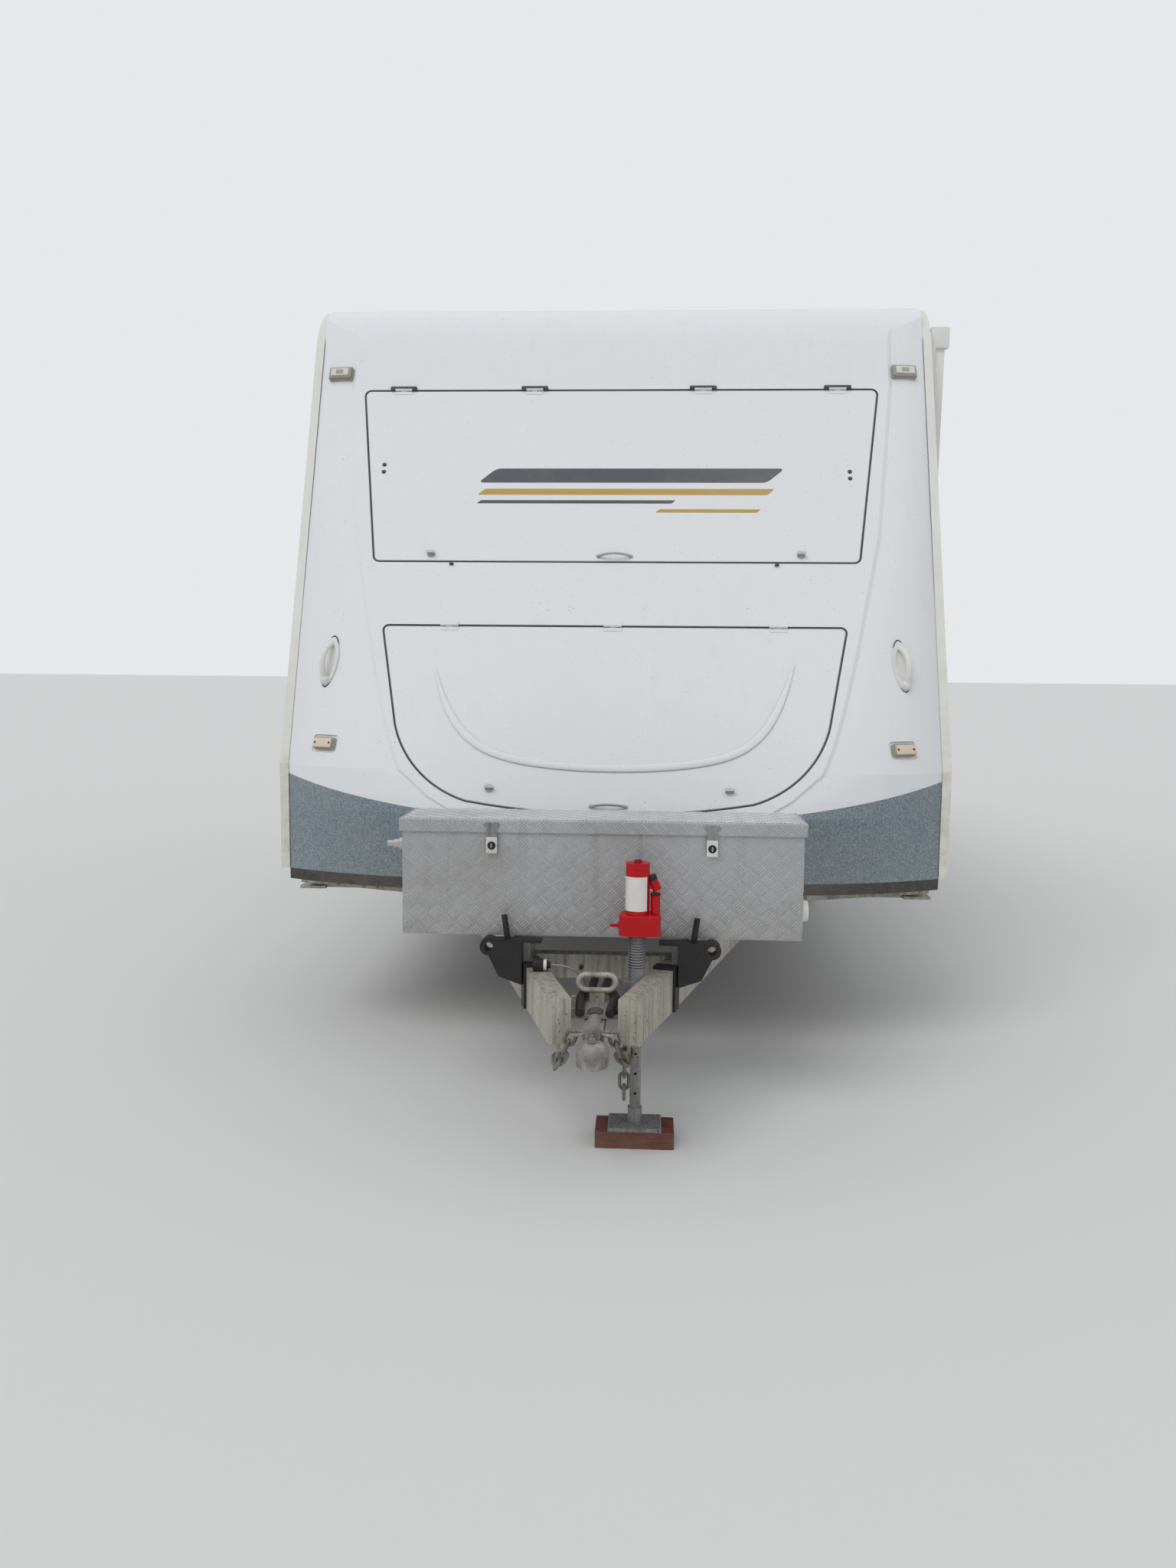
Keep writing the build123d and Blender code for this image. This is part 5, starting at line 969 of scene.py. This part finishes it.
def shifted(matrix, x=0.0, y=0.0, z=0.0):
    return matrix @ Matrix.Translation((x, y, z))


# %% [markdown]
# ### Marker lamps
# The upper lamps have a clear lens in a moulded base. The lower ones are plain cream plates, faded
# from amber, held by two dark screws.

# %% Lenses and screws of the marker lamps
for name, low, high, size, lens_finish in (
    ("upper", 2.3, 2.8, (0.074, 0.030, 0.0035), lamp_clear),
    ("lower", 0.9, 1.3, (0.080, 0.033, 0.0020), lamp_amber),
):
    for side in (-1, 1):
        face = flat_face(
            nodes["marker_lamps"],
            lambda middle, normal: low < middle.z < high and middle.x * side > 0 and normal.y < -0.3,
        )
        label = f"{name}_{side_names[side]}"
        lens = boxed("lens", size, shifted(face, z=-0.0002), 0.004, 0.0012)
        hand_over(lens, f"lamp_lens_{label}", "root", lens_finish)
        print(label, [round(v, 3) for v in face.translation])
        if name == "upper":
            reflector = boxed("reflector", (0.030, 0.016, 0.0012), shifted(face, z=0.0034), 0.003)
            hand_over(reflector, f"lamp_window_{label}", "root", finishes["tread_plate"])
            continue
        screws = [
            turned("screw", 0.0040, 0.0012, shifted(face, x, 0, size[2] - 0.0002), 0.0006, 16)
            for x in (-0.033, 0.033)
        ]
        screws = join(screws, "screws")
        hand_over(screws, f"lamp_screws_{label}", "root", finishes["black_steel"])

# %% [markdown]
# ### Strut screws and stops
# Two dark screws on each side of the window cover stand where its gas struts are fixed. The struts
# themselves aren't modelled. Small rubber stops sit under the cover's lower edge.

# %% Screws of the cover struts, and the stops
# Columns: x, z
strut_screws = [(-0.900, 2.169), (-0.900, 2.140), (0.883, 2.141), (0.883, 2.114)]
screws = []
for x, z in strut_screws:
    screws.append(turned("washer", 0.0085, 0.0012, on_rake(x, z), 0.0004, 24))
    screws.append(turned("head", 0.0056, 0.0042, on_rake(x, z), 0.0018, 6))
hand_over(join(screws, "screws"), "cover_strut_screws", "upper_hatch", finishes["frame_grey"])
cover_low_z = 1.788
stops = [
    boxed("stop", (0.016, 0.008, 0.007), on_rake(x, cover_low_z - 0.013, 0.0005), 0.003, 0.001)
    for x in (-0.610, 0.600)
]
hand_over(join(stops, "stops"), "cover_stops", "root", rubber)

# %% Dark strips over the hinges of the window cover
cover_high_z = 2.484
strip_size = (0.105, 0.014, 0.0125)
strips = [
    boxed("strip", strip_size, on_rake(x, cover_high_z), 0.005, 0.003)
    for x in (-0.850, -0.330, 0.330, 0.850)
]
hand_over(join(strips, "strips"), "cover_hinge_strips", "root", finishes["frame_grey"])

# %% [markdown]
# ### Bead along the front edges
# Where the front moulding meets the side trims runs a thin dark sealant line, visible from the skirt
# to the roof. It follows the side profile, which is straight, leans back and turns through an arc,
# so a few numbers place it: its foot, the knee, the lean, the radius and the height of the roof.

# %% Sealant bead
bead_x = 1.1985
edge_y, edge_low, knee_z, edge_lean = -2.560, 0.650, 1.030, 0.345
arc_radius, roof_z = 0.300, 2.870
lean_angle = atan(edge_lean)
arc_z = roof_z - arc_radius * (1 - sin(lean_angle))
arc_y = edge_y + (arc_z - knee_z) * edge_lean
arc_centre = Vector((0, arc_y + arc_radius * cos(lean_angle), roof_z - arc_radius))
profile = [(edge_y, edge_low), (edge_y, knee_z), (arc_y, arc_z)]
arc_steps = 10
for step in range(1, arc_steps + 1):
    angle = lean_angle + (pi / 2 - lean_angle) * step / arc_steps
    profile.append((arc_centre.y - arc_radius * cos(angle), arc_centre.z + arc_radius * sin(angle)))
for side in (-1, 1):
    bead = tube_line([(side * bead_x, y - 0.0005, z) for y, z in profile], 0.0026)
    hand_over(bead, f"edge_bead_{side_names[side]}", "root", rubber, 50)

# %% [markdown]
# ### Toolbox fittings
# A white drain cap shows on the +X end of the toolbox and a small metal tap on the other end. Each
# latch gets a bright tongue, a dark disc on it that is painted shade of its hole, and a small staple.

# %% Cap and tap
cap_back, cap_z = 0.060, 0.664
tap_back, tap_z = 0.070, 0.850
cap_place = Matrix.Translation((box_high.x, box_low.y + cap_back, cap_z)) @ facing_side(1)
cap = [turned("cap", 0.032, 0.022, cap_place, 0.004), turned("rim", 0.036, 0.008, cap_place, 0.002)]
hand_over(join(cap, "cap"), "drain_cap", "root", finishes["white_plastic"])
tap_place = Matrix.Translation((box_low.x, box_low.y + tap_back, tap_z)) @ facing_side(-1)
tap = [turned("flange", 0.021, 0.006, tap_place, 0.002), turned("barrel", 0.013, 0.040, tap_place, 0.002)]
tap.append(turned("nut", 0.018, 0.012, shifted(tap_place, z=0.012), 0.002, 6))
tap.append(turned("nozzle", 0.009, 0.060, tap_place, 0.001))
hand_over(join(tap, "tap"), "water_tap", "root", finishes["hinge_metal"])

# %% Tongues, painted hole shade and staples of the latches
latch_x, latch_drop = 0.331, 0.0396
tongue_size = (0.0335, 0.050, 0.0026)
staple_size = (0.005, 0.013, 0.008)
for side in (-1, 1):
    face = flat_face(nodes["toolbox_latches"], lambda middle, normal: middle.x * side > 0 and normal.y < -0.9)
    eye = Matrix.Translation((side * latch_x, face.translation.y, lid_edge - latch_drop)) @ facing_front
    tongue = boxed("tongue", tongue_size, shifted(eye, y=0.001), 0.003, 0.0008)
    hand_over(tongue, f"latch_tongue_{side_names[side]}", "toolbox_lid", latch_steel)
    # The hole is not cut: a dark disc on the tongue is painted shade standing in for it.
    hole_shade_disc = turned("hole_shade_disc", 0.0125, 0.0006, shifted(eye, z=0.0026), 0.0002)
    hand_over(hole_shade_disc, f"latch_shade_disc_{side_names[side]}", "toolbox_lid", hole_shade_paint)
    staple = boxed("staple", staple_size, shifted(eye, z=0.0028), 0.002, 0.001)
    hand_over(staple, f"latch_staple_{side_names[side]}", "toolbox_lid", finishes["cast_iron"])

# %% [markdown]
# ### Bottle jack
# The jack's label is left blank: a thin open sheet bent round part of the cylinder. The pump socket
# and the filler plug are black.

# %% Label, plug and socket
jack_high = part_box("jack_head")[1]
jack_axis = Vector((0.111, -3.480, 0))
cylinder_radius = 0.035
cylinder_low = 0.685
label_low, label_high = cylinder_low + 0.012, cylinder_low + 0.112
label = new_piece(
    bpy.ops.mesh.primitive_cylinder_add, vertices=64, radius=cylinder_radius + 0.0004,
    depth=label_high - label_low, end_fill_type="NOTHING",
)
open_edit(label)
pick_faces(label, lambda middle, normal: middle.x > 0.028 or middle.y > 0.030)
bpy.ops.mesh.delete(type="FACE")
close_edit()
put_on(label, Matrix.Translation(jack_axis + Vector((0, 0, (label_low + label_high) / 2))))
hand_over(label, "jack_label", "root", blank_label, 60)
upright = Matrix.Translation(jack_axis + Vector((0, 0, jack_high.z - 0.0062)))
plug = [turned("plug", 0.0105, 0.0085, upright, 0.002, 6)]
socket_middle = jack_axis + Vector((0.048, 0, cylinder_low + 0.092))
socket_place = Matrix.Translation(socket_middle) @ Matrix.Rotation(radians(-24), 4, "Y")
piston_place = Matrix.Translation(jack_axis + Vector((0.052, 0, cylinder_low + 0.055)))
plug.append(turned("socket", 0.0092, 0.0010, shifted(socket_place, z=0.0236)))
plug.append(turned("sleeve", 0.0137, 0.0150, shifted(socket_place, z=0.0085)))
plug.append(turned("piston_seal", 0.0146, 0.0060, piston_place))
hand_over(join(plug, "plug"), "jack_plug_and_socket", "root", finishes["black_steel"])

# %% [markdown]
# ### Coupling gaiter and bolts
# A pleated black gaiter covers the joint between the drawtube and its housing. Each pleat is a torus
# round the tube. Hexagon bolts hold the coupling's plate to the drawbar.

# %% Gaiter and bolts
ball_y = -3.840
tube_z = 0.430
along_tube = Matrix.Rotation(-pi / 2, 4, "X")
pleats = []
pleat_count, pleat_pitch, pleat_start = 6, 0.0075, 0.138
for index in range(pleat_count):
    pleat_place = Matrix.Translation((0, ball_y + pleat_start + index * pleat_pitch, tube_z)) @ along_tube
    pleats.append(hoop(0.0245, 0.0042, 40, 10, pleat_place))
hand_over(join(pleats, "pleats"), "drawtube_gaiter", "root", rubber, 50)
plate_top = 0.448
bolts = []
for side in (-1, 1):
    for y in (ball_y + 0.165, ball_y + 0.285):
        place = Matrix.Translation((side * 0.068, y, plate_top))
        bolts.append(turned("washer", 0.012, 0.002, place, 0.0005, 24))
        bolts.append(turned("head", 0.0095, 0.009, place, 0.002, 6))
hand_over(join(bolts, "bolts"), "coupling_bolts", "root", finishes["galvanised"])

# %% [markdown]
# ### Looms in the drawbar
# Black looms run along the inside of both drawbar rails, and two thick hoses and a thin one run
# beside the drawtube. They don't hang free, so they ride on the chassis as fixed pieces.

# %% Looms along the rails
rail_tan = 0.2867
tip_x, tip_y, rail_half = 0.094, -3.740, 0.0323


def inner_wall(y):
    """Inner face of the +X drawbar rail at y."""
    return tip_x + (y - tip_y) * rail_tan - rail_half


# Columns: side, height, radius, start y, end y
looms = [
    (-1, 0.462, 0.0085, -3.60, -3.30),
    (-1, 0.440, 0.0060, -3.62, -3.29),
    (1, 0.452, 0.0080, -3.58, -3.54),
    (1, 0.425, 0.0060, -3.40, -3.30),
]
loom_points = 12
loom_wave = 0.006
loom_pieces = []
for side, height, radius, start, end in looms:
    places = []
    for index in range(loom_points):
        y = start + (end - start) * index / (loom_points - 1)
        wave = loom_wave * sin(index * 1.9 + height * 40)
        places.append((side * (inner_wall(y) - radius - 0.001), y, height + wave))
    loom_pieces.append(tube_line(places, radius))
hand_over(join(loom_pieces, "looms"), "drawbar_looms", "root", black_hose, 60)

# %% Hoses beside the drawtube
# Columns: x, y, z of each point along one hose
hose_lines = [
    [
        (-0.041, -3.722, 0.456), (-0.043, -3.66, 0.459), (-0.048, -3.60, 0.461), (-0.036, -3.53, 0.470),
        (-0.020, -3.46, 0.440), (-0.025, -3.36, 0.425), (-0.018, -3.272, 0.440),
    ],
    [
        (0.041, -3.722, 0.456), (0.044, -3.66, 0.459), (0.052, -3.60, 0.460), (0.046, -3.53, 0.464),
        (0.020, -3.45, 0.436), (0.012, -3.36, 0.420), (0.022, -3.272, 0.432),
    ],
    [
        (0.060, -3.700, 0.455), (0.066, -3.62, 0.458), (0.060, -3.54, 0.457), (0.036, -3.47, 0.420),
        (0.030, -3.38, 0.400), (0.044, -3.272, 0.418),
    ],
]
hose_radii = [0.0125, 0.0125, 0.0070]
hoses = [tube_line(points, radius) for points, radius in zip(hose_lines, hose_radii)]
hand_over(join(hoses, "hoses"), "coupling_hoses", "root", black_hose, 60)

# %% Thin dark rings on the ribbed jack tube, painted shade in its grooves
ring_count, ring_pitch, ring_top = 12, 0.008, 0.6145
rings = []
for index in range(ring_count):
    ring_place = Matrix.Translation(jack_axis + Vector((0, 0, ring_top - index * ring_pitch)))
    rings.append(hoop(0.0240, 0.0010, 40, 6, ring_place))
hand_over(join(rings, "rings"), "jack_tube_groove_shade", "root", finishes["black_steel"], 60)

# %% [markdown]
# ### Soft fold in the boot lid
# The lid is pressed with a U-shaped fold that catches a thin line of light. It is modelled as a
# curve with a round bevel, thinned at both ends, and squashed until it is only a few millimetres
# high, so that it reads as a fold and not as a rope.

# %% U-shaped fold
# Columns: x, height of the point, share of the full width
fold_points = [
    (-0.640, 1.385, 0.15), (-0.618, 1.310, 0.6), (-0.575, 1.215, 1.0), (-0.500, 1.130, 1.0),
    (-0.390, 1.076, 1.0), (-0.200, 1.048, 1.0), (0.020, 1.040, 1.0), (0.240, 1.050, 1.0),
    (0.420, 1.080, 1.0), (0.520, 1.140, 1.0), (0.590, 1.235, 1.0), (0.630, 1.335, 0.6),
    (0.655, 1.415, 0.15),
]
fold_half, fold_squash = 0.014, 0.36
fold_places = [(x, (z - chin.z) * rake_length, 0) for x, z, share in fold_points]
fold = nurbs_line("fold", fold_places, fold_half, order=4, bevel_resolution=8, resolution_u=10)
for point, (x, z, share) in zip(fold.data.splines[0].points, fold_points):
    point.radius = share
fold = as_mesh(fold)
fold.scale = (1, 1, fold_squash)
bpy.ops.object.transform_apply(scale=True)
open_edit(fold)
bpy.ops.mesh.select_all(action="SELECT")
bpy.ops.mesh.bisect(plane_co=(0, 0, 0), plane_no=(0, 0, -1), clear_outer=True, use_fill=False)
close_edit()
put_on(fold, on_rake(0, chin.z, 0.0035))
hand_over(fold, "boot_lid_fold", "lower_hatch", finishes["gelcoat"], 60)

# %% [markdown]
# ### Handle gaskets
# Each grab handle sits in an oval gasket. A ray cast from the front finds where the pillar is and
# which way it faces.


# %% Gaskets on the pillars
def on_front(x, z, out=0.0):
    """Matrix on the moulding, seen from the front: z outwards, x level."""
    _, place, normal, _ = nodes["front_moulding"].ray_cast(Vector((x, -6, z)), Vector((0, 1, 0)))
    if normal.y > 0:
        normal = -normal
    level_x = Vector((0, 0, 1)).cross(normal).normalized()
    turn = turn_to(level_x, normal.cross(level_x), normal)
    return Matrix.Translation(place + normal * out) @ turn


handle_low, handle_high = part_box("grab_handles")
middle_z = (handle_low.z + handle_high.z) / 2
handle_x = 1.043
oval_wide, oval_tall = 0.42, 1.22
oval = Matrix.Scale(oval_wide, 4, (1, 0, 0)) @ Matrix.Scale(oval_tall, 4, (0, 1, 0))
for side in (-1, 1):
    gasket = hoop(0.080, 0.0022, 64, 8, Matrix.Identity(4))
    gasket.scale = (oval_wide, oval_tall, 1)
    bpy.ops.object.transform_apply(scale=True)
    put_on(gasket, on_front(side * handle_x, middle_z, 0.0004))
    hand_over(gasket, f"handle_gasket_{side_names[side]}", "root", rubber, 60)
    dish = turned("dish", 0.078, 0.0008, oval)
    put_on(dish, on_front(side * handle_x, middle_z, 0.0002))
    hand_over(dish, f"handle_dish_{side_names[side]}", "root", finishes["gelcoat"])

# %% [markdown]
# ### Bolt on the coupling head
# A rusty bolt with a wide washer stands on the head, in front of the drawtube.

# %% Head bolt
head_top = Matrix.Translation((0, ball_y - 0.011, 0.4190))
bolt = [turned("washer", 0.0145, 0.0035, head_top, 0.001), turned("nut", 0.0105, 0.0120, head_top, 0.002, 6)]
bolt.append(turned("stud", 0.0050, 0.0190, head_top, 0.0015))
hand_over(join(bolt, "bolt"), "head_bolt", "root", rusty_chain)

# %% [markdown]
# ### Awning ends
# The rolled awning ends in a square bracket, with a flat arm folded down beside the wall. One end is
# a box and a box that tapers downwards, and the other end is the same a roller's length further back.

# %% Brackets and arms of the awning
roll_low, roll_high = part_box("awning")
bracket_deep, bracket_tall, arm_deep = 0.030, 0.082, 0.018
bracket_wide = bracket_tall - 0.008
arm_clear = 0.02
arm_wide_top, arm_wide_low = 0.058, 0.030
for label, y in (("front", roll_low.y - 0.001), ("rear", roll_high.y + 0.001 - bracket_deep)):
    middle_x = roll_high.x - 0.0005 - bracket_wide / 2
    bracket_z = roll_high.z - bracket_tall / 2 - 0.001
    bracket_place = Matrix.Translation((middle_x, y + bracket_deep, bracket_z)) @ facing_front
    bracket = boxed("bracket", (bracket_wide, bracket_tall, bracket_deep), bracket_place, 0.006, 0.003)
    arm_tall = roll_high.z - bracket_tall - roll_low.z - arm_clear
    arm_x = roll_low.x + 0.008 + arm_wide_low / 2
    arm_z = roll_low.z + arm_clear + arm_tall / 2
    arm_place = Matrix.Translation((arm_x, y + bracket_deep, arm_z)) @ facing_front
    arm = boxed("arm", (arm_wide_low, arm_tall, arm_deep), Matrix.Identity(4), 0.0, 0.002)
    open_edit(arm)
    pick_verts(arm, lambda place: place.y > 0 and place.x > 0)
    bpy.ops.transform.translate(value=(arm_wide_top - arm_wide_low, 0, 0))
    close_edit()
    put_on(arm, arm_place)
    end_piece = join([bracket, arm], "awning_end")
    hand_over(end_piece, f"awning_end_{label}", "root", finishes["white_plastic"])
print("awning", [round(v, 3) for v in roll_low], [round(v, 3) for v in roll_high])

# %% [markdown]
# ## Cable and plug
# A thin grey cable leaves the cross member of the drawbar, hangs in the open triangle between the
# rails and comes up over the rail to its plug. It is one NURBS curve with the route's points.

# %% Tow cable
cable_radius = 0.0035
gland = Vector((-0.064, -3.252, 0.462))
route = [
    gland,
    gland + Vector((0, -0.040, 0)),
    gland + Vector((0.012, -0.090, -0.030)),
    gland + Vector((0.018, -0.140, -0.016)),
    gland + Vector((0.014, -0.178, 0.016)),
    Vector((-0.092, -3.450, 0.519)),
    Vector((-0.144, -3.450, 0.519)),
]
cable = nurbs_line(
    "tow_cable_sheath", route, cable_radius, bevel_resolution=5, resolution_u=16, use_fill_caps=True,
)
cable.data.materials.append(cable_sheath)
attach(cable, "root")
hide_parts("tow_cable")

# %% Strain relief and the plug's white ring
relief_long = 0.030
relief = new_piece(
    bpy.ops.mesh.primitive_cone_add, vertices=24, radius1=0.0078, radius2=0.0044, depth=relief_long,
    location=(0, 0, relief_long / 2),
)
bpy.ops.object.transform_apply(location=True)
put_on(relief, Matrix.Translation(gland) @ Matrix.Rotation(pi / 2, 4, "X"))
hand_over(relief, "cable_strain_relief", "root", rubber)
ring_place = Matrix.Translation((-0.1645, -3.450, 0.519)) @ Matrix.Rotation(pi / 2, 4, "Y")
ring = turned("ring", 0.0162, 0.010, ring_place, 0.002)
hand_over(ring, "plug_ring", "root", finishes["white_plastic"])
